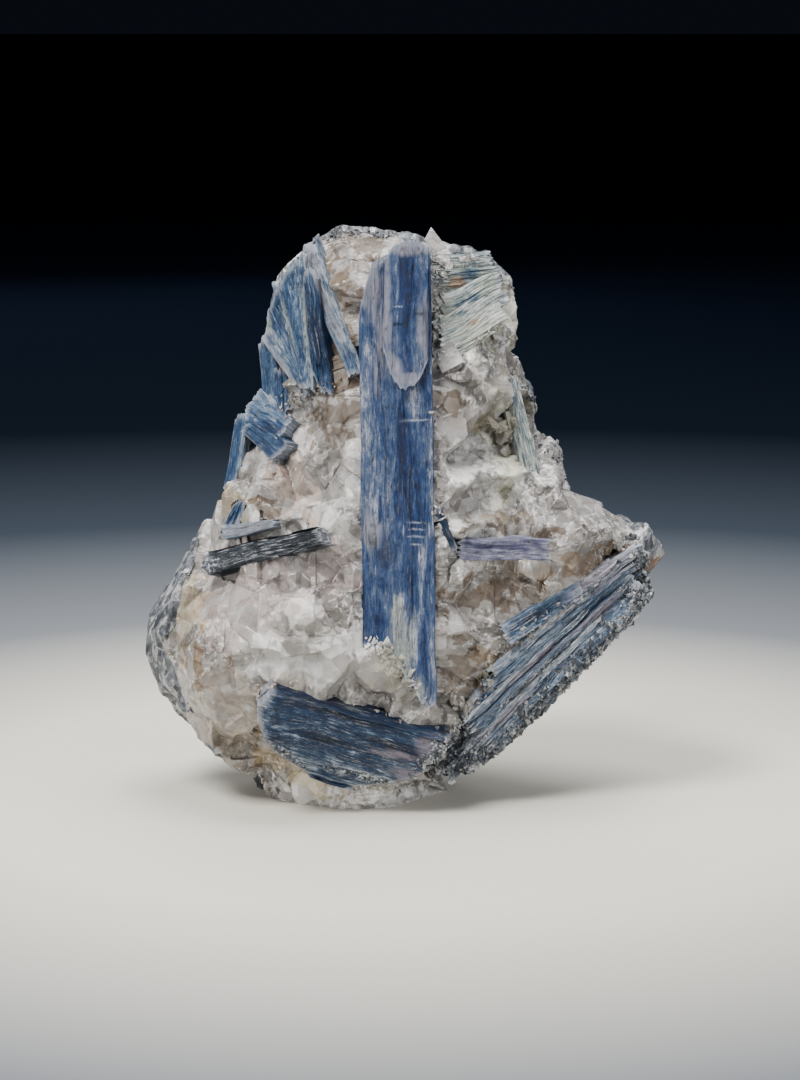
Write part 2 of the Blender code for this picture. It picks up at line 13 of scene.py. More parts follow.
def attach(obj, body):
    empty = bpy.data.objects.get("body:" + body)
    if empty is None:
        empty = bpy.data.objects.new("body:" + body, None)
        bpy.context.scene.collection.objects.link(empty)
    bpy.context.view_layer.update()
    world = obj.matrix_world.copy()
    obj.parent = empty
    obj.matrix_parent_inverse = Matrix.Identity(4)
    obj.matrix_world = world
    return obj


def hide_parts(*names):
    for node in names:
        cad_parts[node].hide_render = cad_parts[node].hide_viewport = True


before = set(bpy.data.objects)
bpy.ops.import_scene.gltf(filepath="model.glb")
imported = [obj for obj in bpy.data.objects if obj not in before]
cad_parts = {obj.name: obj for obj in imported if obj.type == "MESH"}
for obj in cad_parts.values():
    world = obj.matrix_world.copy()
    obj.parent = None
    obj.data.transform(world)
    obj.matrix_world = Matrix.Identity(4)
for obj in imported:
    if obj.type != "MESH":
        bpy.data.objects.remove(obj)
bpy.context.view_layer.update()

# The camera stands a little above the specimen, square to its face, far enough off for a true
# outline, and frames it with room to spare.
MM = 0.001
CAMERA_DISTANCE = 0.55
CAMERA_ELEVATION = math.radians(10)
CAMERA_TARGET_HEIGHT = 0.0474
CAMERA_LENS = 98.35


def linked(name, data):
    """A new object in the scene."""
    made = bpy.data.objects.new(name, data)
    bpy.context.scene.collection.objects.link(made)
    return made


camera = linked("camera", bpy.data.cameras.new("camera"))
camera.data.lens = CAMERA_LENS
backwards = Vector((0, -math.cos(CAMERA_ELEVATION), math.sin(CAMERA_ELEVATION)))
camera.location = Vector((0, 0, CAMERA_TARGET_HEIGHT)) + backwards * CAMERA_DISTANCE
camera.rotation_euler = (-backwards).to_track_quat("-Z", "Y").to_euler()
bpy.context.scene.camera = camera


# The floor is a pale sheet with a painted pool of light that darkens outwards into the dark of the room,
# under soft boxes.
# Shading is written as sums: a Shade is one socket, and its arithmetic adds the Math nodes.
class Shade:
    """The output of a node, with the usual arithmetic."""

    def __init__(self, finish, socket):
        self.finish = finish
        self.socket = socket

    def math(self, operation, *values):
        return self.finish.node("ShaderNodeMath", {"operation": operation}, dict(enumerate(values)))

    def __add__(self, other):
        return self.math("ADD", self, other)

    def __sub__(self, other):
        return self.math("SUBTRACT", self, other)

    def __rsub__(self, other):
        return self.math("SUBTRACT", other, self)

    def __mul__(self, other):
        return self.math("MULTIPLY", self, other)

    __radd__ = __add__
    __rmul__ = __mul__

    def clamped(self):
        return self.math("MINIMUM", self.math("MAXIMUM", self, 0.0), 1.0)

    def between(self, low, high):
        """0 below low, 1 above high, and a smooth step from one to the other."""
        kind = {"interpolation_type": "SMOOTHSTEP"}
        return self.finish.node("ShaderNodeMapRange", kind, {0: self, 1: low, 2: high})

    def ramp(self, *stops):
        """A colour from stops of (place, colour)."""
        return self.finish.node("ShaderNodeValToRGB", {"stops": stops}, {0: self})

    def mixed(self, other, share, blend="MIX"):
        """This colour with a share of another."""
        settings = {"data_type": "RGBA", "blend_type": blend}
        return self.finish.node("ShaderNodeMix", settings, {0: share, 6: self, 7: other}, output=2)

    def vector(self, operation, *values, output=0):
        """Vector arithmetic that starts from this one."""
        sockets = dict(enumerate((self, *values)))
        return self.finish.node("ShaderNodeVectorMath", {"operation": operation}, sockets, output)

    def scaled(self, *factors):
        """This vector, stretched along its axes."""
        return self.vector("MULTIPLY", factors)


class Finish:
    """A material under way: a Principled shader and the nodes that feed it."""

    def __init__(self, name, **sockets):
        self.material = bpy.data.materials.new(name)
        self.material.use_nodes = True
        self.tree = self.material.node_tree
        self.shader = self.tree.nodes["Principled BSDF"]
        self.feed(self.shader, {key.replace("_", " "): value for key, value in sockets.items()})

    def feed(self, node, sockets):
        """Sets or links a node's input sockets."""
        for key, value in sockets.items():
            if isinstance(value, Shade):
                self.tree.links.new(value.socket, node.inputs[key])
            elif node.inputs[key].type == "RGBA":
                node.inputs[key].default_value = (*value, 1)
            else:
                node.inputs[key].default_value = value

    def node(self, kind, settings, sockets, output=0):
        """Any node: its type, its settings, its sockets' values or links, and which output to take."""
        made = self.tree.nodes.new(kind)
        for key, value in settings.items():
            if key != "stops":
                setattr(made, key, value)
                continue
            while len(made.color_ramp.elements) < len(value):
                made.color_ramp.elements.new(0.5)
            for element, (place, colour) in zip(made.color_ramp.elements, value):
                element.position = place
                element.color = (*colour, 1)
        self.feed(made, sockets)
        return Shade(self, made.outputs[output])

    def __getitem__(self, name):
        """A number kept on the mesh."""
        return self.node("ShaderNodeAttribute", {"attribute_name": name}, {}, output=2)

    def cloud(self, where, scale, detail=3, roughness=0.55):
        """Soft noise from 0 to 1."""
        sockets = {"Vector": where, "Scale": scale, "Detail": detail, "Roughness": roughness}
        return self.node("ShaderNodeTexNoise", {}, sockets)

    def cells(self, where, scale):
        """A colour of its own for each small block."""
        return self.node("ShaderNodeTexVoronoi", {}, {"Vector": where, "Scale": scale}, output=1)

    def seams(self, where, scale):
        """How far from the edges of those blocks."""
        settings = {"feature": "DISTANCE_TO_EDGE"}
        return self.node("ShaderNodeTexVoronoi", settings, {"Vector": where, "Scale": scale})

    def bump(self, height, strength, distance, **normal):
        """Relief too fine for the mesh, as a normal."""
        sockets = {"Height": height, "Strength": strength, "Distance": distance, **normal}
        return self.node("ShaderNodeBump", {}, sockets)

    def place(self):
        """Where a point is on the specimen, in metres."""
        return self.node("ShaderNodeTexCoord", {}, {}, output=3)


FLOOR_RADIUS = 30.0
PALE, DARK = (0.58, 0.555, 0.49), (0.003, 0.005, 0.01)
bm = bmesh.new()
bmesh.ops.create_circle(bm, cap_ends=True, segments=96, radius=FLOOR_RADIUS)
floor = linked("floor", bpy.data.meshes.new("floor"))
bm.to_mesh(floor.data)
bm.free()
paper = Finish("pale_paper", Roughness=0.8, Specular_IOR_Level=0.0)
outwards = paper.place().vector("LENGTH", output=1)
# Painted pool of light: the floor's colour is pale under the specimen and darker with distance from it.
painted_light_pool = outwards.ramp(
    (0.08, PALE), (0.165, (0.145, 0.153, 0.166)), (0.3, (0.029, 0.037, 0.049)),
    (0.5, (0.004, 0.006, 0.01)), (0.9, DARK),
)
paper.feed(paper.shader, {"Base Color": painted_light_pool})
floor.data.materials.append(paper.material)

world = bpy.data.worlds.new("dim_room")
world.use_nodes = True
world.node_tree.nodes["Background"].inputs["Color"].default_value = (0.004, 0.005, 0.008, 1)
bpy.context.scene.world = world

# Square soft boxes: name, where, how wide, watts, colour. All face the middle of the specimen.
SOFT_BOXES = [
    ("key", (-0.3, -0.35, 0.75), 0.28, 11.5, (1, 0.985, 0.96)),
    ("top", (0.1, 0.1, 0.8), 0.5, 9, (0.97, 0.985, 1)),
    ("fill_right", (0.75, -0.45, 0.3), 0.55, 6, (0.96, 0.98, 1)),
    ("fill_left", (-0.8, -0.3, 0.25), 0.55, 4, (0.98, 0.99, 1)),
    ("front", (-0.45, -1, 0.08), 0.35, 5, (1, 0.99, 0.97)),
    ("behind", (-0.25, 0.95, 0.45), 0.6, 5, (0.98, 0.99, 1)),
]
for name, where, wide, watts, colour in SOFT_BOXES:
    light = linked(name, bpy.data.lights.new(name, "AREA"))
    light.data.size = wide
    light.data.energy = watts
    light.data.color = colour
    light.location = where
    light.rotation_euler = (Vector((0, 0, 0.05)) - Vector(where)).to_track_quat("-Z", "Y").to_euler()


# The main blade: a tall, flat lath of blue kyanite up the middle, grown through the quartz. Its
# cleavage splits it lengthwise in thin plates, and a smaller blade has grown on its upper part.
FRONT = (0, -1, 0)
ACROSS_STEP, ALONG_STEP, SIDE_STEP = 0.16, 0.42, 0.35
POCKET_FIT = 0.4  # how much wider a lath is than its nominal width, so that it fills its pocket
EDGE_ROUND = 0.35
PAINTS = ("deep", "pale", "frost", "cream", "rust", "stain", "crust", "line")
grown = []  # the points and faces of each crystal, for the rock that closes round them


def hashed(cells, seed):
    """A number from 0 to 1 for each whole-number cell, the same in every run."""
    mixed = cells[:, 0] * 73856093 ^ cells[:, 1] * 19349663 ^ cells[:, 2] * 83492791 ^ seed * 2654435761
    for shift, factor in ((15, 2246822519), (13, 3266489917)):
        mixed = (mixed ^ (mixed >> shift) & 0xFFFFFFFF) * factor & 0xFFFFFFFF
    return ((mixed ^ (mixed >> 16)) & 0xFFFFFF) / 0x1000000


def clouded(points, pitch, shift=0.0):
    """Soft noise, about -0.7 to 0.7, at each point. pitch is how quickly it changes, per unit."""
    scaled = points * pitch + (shift, 0, 0)
    return np.array([noise.noise(p) for p in scaled.tolist()])


def patch(points, wobble, x, z, wide, high, turn=0):
    """A ragged spot on the face at x, z: 1 inside, 0 outside."""
    cos, sin = math.cos(math.radians(turn)), math.sin(math.radians(turn))
    dx, dz = points[:, 0] - x, points[:, 2] - z
    far = np.hypot((dx * cos + dz * sin) / wide, (dz * cos - dx * sin) / high)
    return np.clip((1.1 - far + wobble) * 1.6, 0, 1) * (points[:, 1] < 4)


def patches(points, wobble, spots):
    """A list of such spots, together."""
    return np.max([patch(points, wobble, *spot) for spot in spots] or [np.zeros(len(points))], axis=0)


def keep(mesh, **values):
    """Keeps values on the mesh's points, for its material."""
    for name, value in values.items():
        kind = "FLOAT_VECTOR" if value.ndim == 2 else "FLOAT"
        kept = mesh.attributes.get(name) or mesh.attributes.new(name, kind, "POINT")
        kept.data.foreach_set("vector" if value.ndim == 2 else "value", value.astype(np.float32).ravel())


def sharp_shaded(mesh, angle):
    mesh.shade_smooth()
    mesh.set_sharp_from_angle(angle=math.radians(angle))


def spread(values, share):
    """Values given at even spaces across, at each share of the way."""
    return np.interp(share, np.linspace(0, 1, len(values)), values)


def toothed(across, pitch, seed):
    """A number from -0.5 to 0.5 that stays the same over each pitch across."""
    cells = np.floor(across / pitch + 0.37 * seed).astype(np.int64)
    return hashed(np.column_stack([cells, cells * 0 + seed, cells * 0]), 5) - 0.5


def snapped(across, plate, seed):
    """How far each plate of a broken end stands out, and each splinter of it."""
    return 1.4 * toothed(across, 0.6 * plate, seed) + toothed(across, 0.3, seed + 1)


def slivers(side, along, size, stretch, seed):
    """Long slivers: how high each stands, from 0 to 1, and how near its edge."""
    where = np.column_stack([side / size, along / (size * stretch)])
    home = np.floor(where).astype(np.int64)
    nearest = np.full(len(where), 9.0)
    second, level = nearest.copy(), np.zeros(len(where))
    for i, j in product((-1, 0, 1), repeat=2):
        cell = np.column_stack([home + (i, j), home[:, 0] * 0 + seed])
        dx = where[:, 0] - cell[:, 0] - hashed(cell, seed)
        dy = where[:, 1] - cell[:, 1] - hashed(cell, seed + 1)
        far = np.maximum(abs(dx), abs(dy))
        closer = far < nearest
        second = np.where(closer, nearest, np.minimum(second, far))
        level = np.where(closer, hashed(cell, seed + 2), level)
        nearest = np.minimum(nearest, far)
    return level, (second - nearest) * size


def outline_across(width, depth):
    """A lath's outline across: its places (across, out), and which way each faces."""
    front = np.linspace(-width / 2, width / 2, max(5, round(width / ACROSS_STEP)))
    side = np.linspace(0, -depth, max(3, round(depth / SIDE_STEP)))[1:]
    back = np.linspace(width / 2, -width / 2, max(3, round(width / 1.2)))[1:]
    outline = [(x, 0.0, 0, 1) for x in front] + [(width / 2, y, 1, 0) for y in side]
    outline += [(x, -depth, 0, -1) for x in back] + [(-width / 2, y, -1, 0) for y in side[:-1][::-1]]
    places, facing = np.array(outline)[:, :2], np.array(outline)[:, 2:].astype(float)
    from_side = width / 2 - abs(places[:, 0])
    round_off = np.clip(EDGE_ROUND - from_side, 0, None) * (places[:, 1] > -EDGE_ROUND)
    fallen = np.clip(EDGE_ROUND + places[:, 1], 0, None) * (abs(places[:, 0]) > width / 2 - 1e-6)
    places[:, 1] -= 0.5 * round_off**2 / EDGE_ROUND
    places[:, 0] -= 0.5 * np.sign(places[:, 0]) * fallen**2 / EDGE_ROUND
    return places, facing


def lath(foot, tip, width, depth, facing=FRONT, tip_width=None, rise=0.35, ragged=0.6, plate=1.8,
         foot_cut=(0, 0), tip_cut=(1, 1), profile=(0, 0), silk=0.07, tone=0.0, bend=0.25,
         step=ALONG_STEP, seed=0):
    """One lath's points, faces and kept values, in millimetres.

    foot and tip lie on its front face. The cuts say where each end lies across its width, as
    shares of its length; profile is how far its front stands out across its width. Its plates are
    plate wide and stand up to rise apart, with fine grooves silk deep; its ends are ragged.
    """
    foot, tip = np.array(foot, float), np.array(tip, float)
    length = np.linalg.norm(tip - foot)
    run = (tip - foot) / length
    out = np.array(facing) - run * (run @ facing)
    out /= np.linalg.norm(out)
    taper = (tip_width or width) / width
    width += POCKET_FIT
    places, facing = outline_across(width, depth)
    share, count = places[:, 0] / width + 0.5, len(places)
    walk = np.concatenate([[0], np.cumsum(np.hypot(*np.diff(places, axis=0).T))])
    start = spread(foot_cut, share) * length + ragged * snapped(places[:, 0], plate, seed)
    end = spread(tip_cut, share) * length + ragged * snapped(places[:, 0], plate, seed + 2)
    rows = max(4, round(length / step))
    t = np.linspace(0, 1, rows)[:, None]
    along = (start * (1 - t) + end * t).ravel()
    side = np.tile(walk, rows)
    flat = np.column_stack([side, along, np.full(len(side), seed * 5.3)])
    sway, thin_sway = clouded(flat, (0.3, 0.05, 1)), clouded(flat, (0.3, 0.05, 1), 5)
    plates, plate_edge = slivers(side + 0.5 * sway, along, plate, 16, seed + 11)
    thin, thin_edge = slivers(side + 0.3 * thin_sway, along, plate * 0.35, 14, seed + 23)
    silky = clouded(flat, (3.2, 0.1, 1)) + 0.5 * clouded(flat, (7.5, 0.25, 1))
    height = -rise * (1 - plates) ** 2 - 0.35 * rise * (thin < 0.3) + silk * silky
    x, y = (np.tile(column, rows) for column in places.T)
    faces_x, faces_y = (np.tile(column, rows) for column in facing.T)
    x = x * (1 + (taper - 1) * along / length) + faces_x * height * 0.6
    x += bend * clouded(np.column_stack([along, along * 0 + seed, along * 0]), 0.12)
    y = y + (height + spread(profile, np.tile(share, rows))) * (faces_y > 0)

    # Each end closes with rings that run from front and back to the middle of its depth, over the
    # broken ends of the plates.
    row_of = np.r_[0, 0, 0, 0:rows, rows - 1, rows - 1, rows - 1]
    inwards = np.r_[0.96, 0.65, 0.3, np.zeros(rows), 0.3, 0.65, 0.96][:, None]
    x = x.reshape(rows, count)[row_of] * (1 - 0.03 * inwards)
    y = y.reshape(rows, count)[row_of] * (1 - inwards) - inwards * depth / 2
    along = along.reshape(rows, count)[row_of]
    from_end = np.minimum(along - start, end - along).ravel()
    splinters = [toothed(x[0] + 9 * k, 0.25, seed + 7 * k) for k in (1, 2, 3)]
    ends = np.concatenate([splinters, np.zeros((rows, count)), splinters[::-1]])
    along = along + 0.9 * ragged * ends
    made = np.column_stack([x.ravel(), along.ravel(), y.ravel()]) @ [np.cross(run, out), run, out] + foot
    index = np.arange(made.shape[0]).reshape(-1, count)
    beside = np.roll(index, -1, axis=1)
    quads = np.stack([index[:-1], beside[:-1], beside[1:], index[1:]], axis=-1).reshape(-1, 4).tolist()
    edge = np.clip(np.minimum(plate_edge, thin_edge) / 0.08, 0, 1)
    kept = dict(
        fibre=flat.reshape(rows, count, 3)[row_of].reshape(-1, 3) + (31 * seed, 0, 0),
        step=(0.6 * plates + 0.4 * thin).reshape(rows, count)[row_of].ravel(),
        rim=1 - edge.reshape(rows, count)[row_of].ravel(),
        broken=np.clip(1 - from_end / 1.2, 0, 1),
        tone=np.full(len(made), tone),
    )
    return made, quads + [index[0][::-1].tolist(), index[-1].tolist()], kept


def blade(foot, tip, width, depth, **more):
    """The sizes of one lath, as lath() takes them."""
    return dict(foot=foot, tip=tip, width=width, depth=depth, **more)


def crystal(name, laths, finish, slot, **paint):
    """Joins laths in one piece that stands for the CAD node of that crystal."""
    points, faces, kept = np.zeros((0, 3)), [], {}
    for number, sizes in enumerate(laths, start=1):
        made, made_faces, values = lath(**{"seed": number, **sizes})
        faces += [[corner + len(points) for corner in face] for face in made_faces]
        points = np.concatenate([points, made])
        for key, value in values.items():
            kept[key] = np.concatenate([kept[key], value]) if key in kept else value
    grown.append((points, faces))
    mesh = bpy.data.meshes.new(name)
    mesh.from_pydata((points * MM).tolist(), [], faces)
    wobble = 0.5 * clouded(kept["fibre"], (1.3, 0.09, 1)) + 0.4 * clouded(kept["fibre"], (2.4, 0.6, 1), 7)
    for key in PAINTS:
        kept[key] = patches(points, wobble * (0.25 if key == "line" else 1), paint.get(key, []))
    keep(mesh, **kept)
    sharp_shaded(mesh, 40)
    mesh.materials.append(finish)
    piece = linked(name, mesh)
    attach(piece, "root")
    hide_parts(f"kyanite_{name}")


def kyanite(name, stops, flecks=0.5, contrast=1.0, streaks=0.3, crusted=(0.27, 0.265, 0.3)):
    """Silky kyanite: streaks along the fibres between the given colours, white flecks, worn edges and
    painted shade between plates.
    """
    white = (0.5, 0.52, 0.56)
    finish = Finish(name, IOR=1.5, Specular_IOR_Level=0.22)
    fibre = finish.node("ShaderNodeAttribute", {"attribute_name": "fibre"}, {}, output=1)
    wide = finish.cloud(fibre.scaled(0.45, 0.035, 1), 1, 3) - 0.5
    mottle = finish.cloud(fibre.scaled(0.9, 0.45, 1), 1, 6, 0.7) - 0.5
    narrow = finish.cloud(fibre.scaled(1.9, 0.09, 1), 1, 5, 0.7)
    hair = finish.cloud(fibre.scaled(6, 0.5, 1), 1, 4, 0.75)
    grit = finish.cloud(fibre.scaled(5, 2.2, 1), 1, 5, 0.8)
    tone = 0.5 + wide * 0.5 + mottle * 1.1 + (narrow - 0.5) * contrast + (hair - 0.5) * (1.3 * contrast)
    tone = tone + (finish["step"] - 0.5) * 0.25 + finish["tone"] + (grit - 0.5) * 0.6
    tone = tone + finish["deep"] * 0.34 - finish["pale"] * 0.22
    tone += (finish.cells(fibre.scaled(0.6, 0.12, 1), 1) - 0.5) * 0.3
    tone += (finish.cells(fibre.scaled(1.5, 0.13, 1), 1) - 0.5) * 0.2
    colour = tone.clamped().ramp(*stops)
    crisp = (narrow * 0.5 + hair * 0.5).between(0.535, 0.6) * grit.between(0.38, 0.5)
    colour = colour.mixed(white, crisp * streaks)
    frosted = finish["frost"] * ((grit + hair) * 2 - 1.3).clamped()
    colour = colour.mixed(crusted, frosted * 0.9)
    colour = colour.mixed((0.34, 0.36, 0.28), finish["cream"] * (grit * 3 - 0.9).clamped() * 0.8)
    colour = colour.mixed((0.26, 0.14, 0.055), finish["rust"] * (grit * 3 - 0.8).clamped())
    # Painted shade: the fine grooves along the edges of the plates are darkened, where shade falls between
    # them.
    painted_crevice_shade = finish["rim"] * hair.between(0.42, 0.56)
    colour = colour.mixed((0.006, 0.008, 0.014), painted_crevice_shade * 0.75)
    speck = finish.cloud(fibre.scaled(3.2, 1.2, 1), 1, 6, 0.85).between(0.63, 0.67) * flecks
    worn = (finish["broken"] * 0.5 + speck).clamped()
    colour = colour.mixed(white, worn * (grit * 3 - 0.8).clamped())
    colour = colour.mixed(white, finish["line"] * (hair * 2 - 0.45).clamped())
    dirt = finish["stain"] * (grit * 4 - 1.5).clamped()
    colour = colour.mixed((0.02, 0.018, 0.018), dirt)
    grains = finish.cells(fibre.scaled(2.6, 2.6, 1), 1) * 0.6 + grit * 0.6
    gritty = grains.ramp(
        (0.36, (0.01, 0.012, 0.016)), (0.52, (0.055, 0.066, 0.085)), (0.66, (0.16, 0.17, 0.19)),
        (0.8, white),
    )
    bare = finish.cloud(fibre.scaled(0.5, 0.5, 1), 1, 5, 0.7).between(0.4, 0.5)
    gritted = finish["crust"] * bare
    colour = colour.mixed(gritty, gritted)
    relief = narrow * 0.6 + hair * 0.6 + grit * (0.35 + 0.5 * frosted) + speck * 0.3 + grains * gritted * 2
    finish.feed(finish.shader, {
        "Base Color": colour,
        "Roughness": 0.22 + worn * 0.2 + frosted * 0.3 + grit * 0.2,
        "Normal": finish.bump(relief, 0.6, 0.0004),
    })
    return finish.material


NAVY = (0.003, 0.007, 0.026)
main_finish = kyanite("main_blade_kyanite", [
    (0, (0.32, 0.335, 0.39)), (0.27, (0.09, 0.112, 0.172)), (0.48, (0.026, 0.053, 0.12)),
    (0.7, (0.006, 0.024, 0.086)), (0.86, (0.003, 0.012, 0.055)), (1, NAVY),
], flecks=0.35, contrast=0.9, streaks=0.15)
crystal("main_blade", [
    blade((0, -24.5, 21.4), (-1.1, -14, 103.6), 12.8, 7.5, ragged=0.9, plate=2.1,
          foot_cut=(0.13, 0.12, 0.1, 0.06, 0, 0), tip_cut=(0.84, 0.955, 0.97, 1, 1, 0.985), step=0.22),
    blade((0.7, -18.8, 78.2), (1.2, -15.4, 104.1), 7.8, 2.8, rise=0.25, ragged=0.4,
          foot_cut=(0.3, 0.13, 0.05, 0.01, 0, 0.02, 0.08, 0.2), tip_cut=(0.86, 0.97, 0.99, 1, 0.99, 0.95),
          profile=(-0.5, -0.1, 0.1, 0.1, -0.1, -0.5), plate=2.6, step=0.22),
], main_finish, "blue_kyanite",
    deep=[(0.9, 62, 2.4, 17), (1, 66, 0.6, 13), (1.8, 46.5, 1.8, 6.5), (2.4, 56, 2.6, 7),
          (-3.6, 36, 1.8, 3.5), (4.4, 30, 0.9, 7), (0.9, 97, 2.6, 7), (1.2, 89, 1.7, 7), (1.4, 84, 0.9, 4),
          (2.6, 41, 0.9, 5)],
    pale=[(-6, 73, 1.2, 17), (-5, 57, 1.8, 7), (0.2, 38, 2.2, 7), (5.6, 60, 0.5, 22), (5.3, 36, 0.6, 9),
          (2.6, 34, 0.8, 8), (3, 75.5, 2.4, 3)],
    frost=[(1, 102.6, 5, 1.2), (-4.9, 96, 1.9, 6), (-3.2, 88, 0.9, 7), (-2.3, 92, 0.8, 11),
           (-1.3, 82.5, 1.1, 3, 25), (1.6, 79.9, 2.6, 1), (4.7, 88, 0.55, 9), (3.6, 89, 0.7, 4),
           (-4.4, 80, 0.5, 5), (1, 103, 4, 0.8), (-4.8, 52.5, 2, 3.5)],
    cream=[(0.6, 31, 2.4, 7), (-0.6, 38, 1.2, 3), (3.4, 24, 1.5, 3)],
    stain=[(-2.6, 48.6, 2.4, 2.6), (-4.6, 51, 1.2, 2)],
    line=[(2.6, 72.3, 2.9, 0.13, 3), (2.9, 54.1, 2.2, 0.13, -3), (2.7, 52.9, 2, 0.1, -3),
          (2.8, 51.6, 2, 0.13, -3), (3, 50.2, 1.6, 0.1, -4), (0.6, 52.6, 0.12, 1.2),
          (5.2, 52.6, 0.12, 1.6), (-0.3, 92.6, 1, 0.08)])

# The dark blades: one broad and nearly black blue across the foot, with a ridge along it and
# fine white scratches, one ragged and silver-streaked at the left, and a needle beside the main blade.
dark_finish = kyanite("dark_kyanite", [
    (0, (0.3, 0.34, 0.39)), (0.2, (0.065, 0.095, 0.14)), (0.38, (0.01, 0.029, 0.066)),
    (0.62, (0.002, 0.01, 0.033)), (1, (0.002, 0.005, 0.014)),
], flecks=1.4, contrast=1.4, streaks=0.3, crusted=(0.21, 0.18, 0.21))
crystal("lower_blade", [
    blade((-26.7, -26, 17.9), (6.7, -21, 7.2), 14.8, 6, facing=(-0.1, -0.95, -0.25),
          foot_cut=(0.03, 0, 0.02, 0.09, 0.2, 0.38), tip_cut=(1, 0.99, 0.95, 0.87, 0.75, 0.6), rise=0.3,
          profile=(-0.8, 0.1, 0.25, 0.35, 0.1, -0.6, -1.5), ragged=0.4, plate=3.4, bend=0.5),
], dark_finish, "dark_kyanite",
    deep=[(-11, 21.2, 15, 2, -17), (-14, 15.4, 7, 0.9, -17), (0, 13.5, 6, 1.2, -17)],
    pale=[(-24, 19.5, 1.6, 4.5), (-20.5, 17, 4, 1.6, -20), (-8, 7.6, 12, 2.2, -18),
          (-16, 10.5, 6, 1.6, -30)],
    frost=[(5.5, 13, 3, 2.4, -20), (1.5, 8.2, 4.5, 1.5, -18), (-1, 12, 5, 1, -17), (-25.4, 19, 0.9, 4)],
    crust=[(6.5, 11, 3, 4, -20), (-3, 6.2, 12, 1.2, -16), (-21, 12.6, 6, 0.9, -42)])
silver_finish = kyanite("silver_streaked_kyanite", [
    (0, (0.5, 0.51, 0.52)), (0.22, (0.11, 0.12, 0.13)), (0.42, (0.014, 0.02, 0.028)),
    (0.7, (0.004, 0.007, 0.011)), (1, (0.002, 0.003, 0.005)),
], flecks=0.8, contrast=1.4, streaks=0.9)
crystal("left_dark_blade", [
    blade((-36.2, -12.6, 45.1), (-13.6, -22, 52.2), 4.4, 4, tip_width=3.3, facing=(-0.3, -0.9, 0.25),
          foot_cut=(0.05, 0, 0.03), tip_cut=(0.95, 0.98, 1), profile=(-1.2, 0.1, 0.3, 0.3, 0.2, -0.6),
          ragged=0.4, plate=1.3, step=0.25),
    blade((-35.6, -12.9, 43.8), (-22, -18.8, 47.6), 1.4, 2.5, tip_width=0.7, facing=(-0.3, -0.9, -0.2),
          ragged=0.8, plate=0.8, tone=0.1),
], silver_finish, "dark_kyanite", crust=[(-36, 44.5, 3.4, 2, 20)],
    deep=[(-17, 51.5, 5, 1.6, 18), (-26, 46, 8, 0.8, 18)])
crystal("needle", [
    blade((6.6, -19.6, 56.6), (9.9, -18.9, 48.8), 1.2, 3, ragged=0.2, rise=0.1, plate=0.6, bend=0),
], dark_finish, "dark_kyanite")

# The blue blades of the left edge: a fan at the top that spreads from one point in the quartz, with
# pale layers between its plates, and below it short stout blades down to the small pale pair.
blue_finish = kyanite("blue_kyanite", [
    (0, (0.3, 0.33, 0.37)), (0.25, (0.09, 0.134, 0.198)), (0.47, (0.021, 0.058, 0.122)),
    (0.72, (0.005, 0.022, 0.066)), (1, (0.002, 0.008, 0.026)),
], flecks=0.8, contrast=1.2, streaks=0.4)
UPPER_LEFT = (-0.45, -0.85, 0.2)
# What the outer blades of the fan share, and the pale layers between them.
FAN_OUT = dict(width=1.4, tip_width=4.4, depth=3.8, ragged=0.3, plate=1.1)
FAN_BETWEEN = dict(ragged=1, plate=0.5, tone=-0.2)
crystal("upper_left_spray", [
    blade((-8.2, -13.6, 80.2), (-17.2, -5.9, 103.3), 2.7, 3.4, tip_width=3.8, rise=0.25,
          facing=(-0.3, -0.9, 0.2), ragged=0.4, plate=0.9, tone=-0.3, profile=(-0.3, 0.1, 0, -0.3),
          tip_cut=(0.93, 0.98, 1)),
    blade((-13.9, -12.3, 75.8), (-16.8, -9, 98.5), 3.4, 3.5, tip_width=2.8, plate=1.3, facing=UPPER_LEFT,
          ragged=0.8, tone=0.2, foot_cut=(0.2, 0.1, 0.04, 0, 0.04), tip_cut=(0.88, 0.97, 1, 0.9)),
    dict(FAN_BETWEEN, foot=(-16.2, -11.2, 77), tip=(-17.7, -7.2, 100.8), width=0.8, tip_width=2, depth=3,
         facing=UPPER_LEFT),
    dict(FAN_OUT, foot=(-17.2, -10.9, 77.2), tip=(-19.4, -4.9, 101.3), depth=3.5, facing=UPPER_LEFT,
         tip_cut=(0.84, 0.93, 1)),
    dict(FAN_OUT, foot=(-17.5, -10.6, 77.4), tip=(-21.9, -3.7, 98.6), facing=(-0.6, -0.8, 0.2), tone=0.06,
         tip_cut=(0.8, 0.91, 1.02)),
    dict(FAN_BETWEEN, foot=(-17.8, -10.1, 78.4), tip=(-22.9, -3.2, 96), width=0.7, tip_width=1.6, depth=4,
         facing=(-0.6, -0.8, 0.1)),
    dict(FAN_OUT, foot=(-17.8, -10.3, 77.6), tip=(-24, -2.7, 93.8), facing=(-0.7, -0.7, 0.1), tone=0.04,
         tip_cut=(0.78, 0.9, 1.04)),
    dict(FAN_OUT, foot=(-17.9, -10, 77.4), tip=(-25.2, -2.5, 89.6), width=1.5, tip_width=4,
         facing=(-0.7, -0.7, 0), tone=0.02, tip_cut=(0.82, 0.92, 1.02)),
    blade((-17.2, -9.4, 75.6), (-25, -3, 86.4), 1.9, 3.4, tip_width=2.2, rise=0.12,
          facing=(-0.5, -0.8, -0.1), ragged=0.6, plate=2, tone=-0.35, silk=0.03),
], blue_finish, "blue_kyanite",
    deep=[(-14.8, 87, 1.6, 8, 10), (-9.4, 82.5, 1.2, 3, 22)],
    frost=[(-21.5, 80.5, 6, 1, -52), (-15.5, 99.5, 1.8, 3.5, 22), (-12.8, 91, 0.7, 9, 22)],
    cream=[(-24.6, 88, 1.4, 2.6), (-17, 88, 0.35, 9, 5), (-20.5, 89, 0.3, 6, 16)],
    line=[(-12.4, 92, 0.13, 6, 22), (-10.2, 86.3, 0.9, 0.13, 20)])
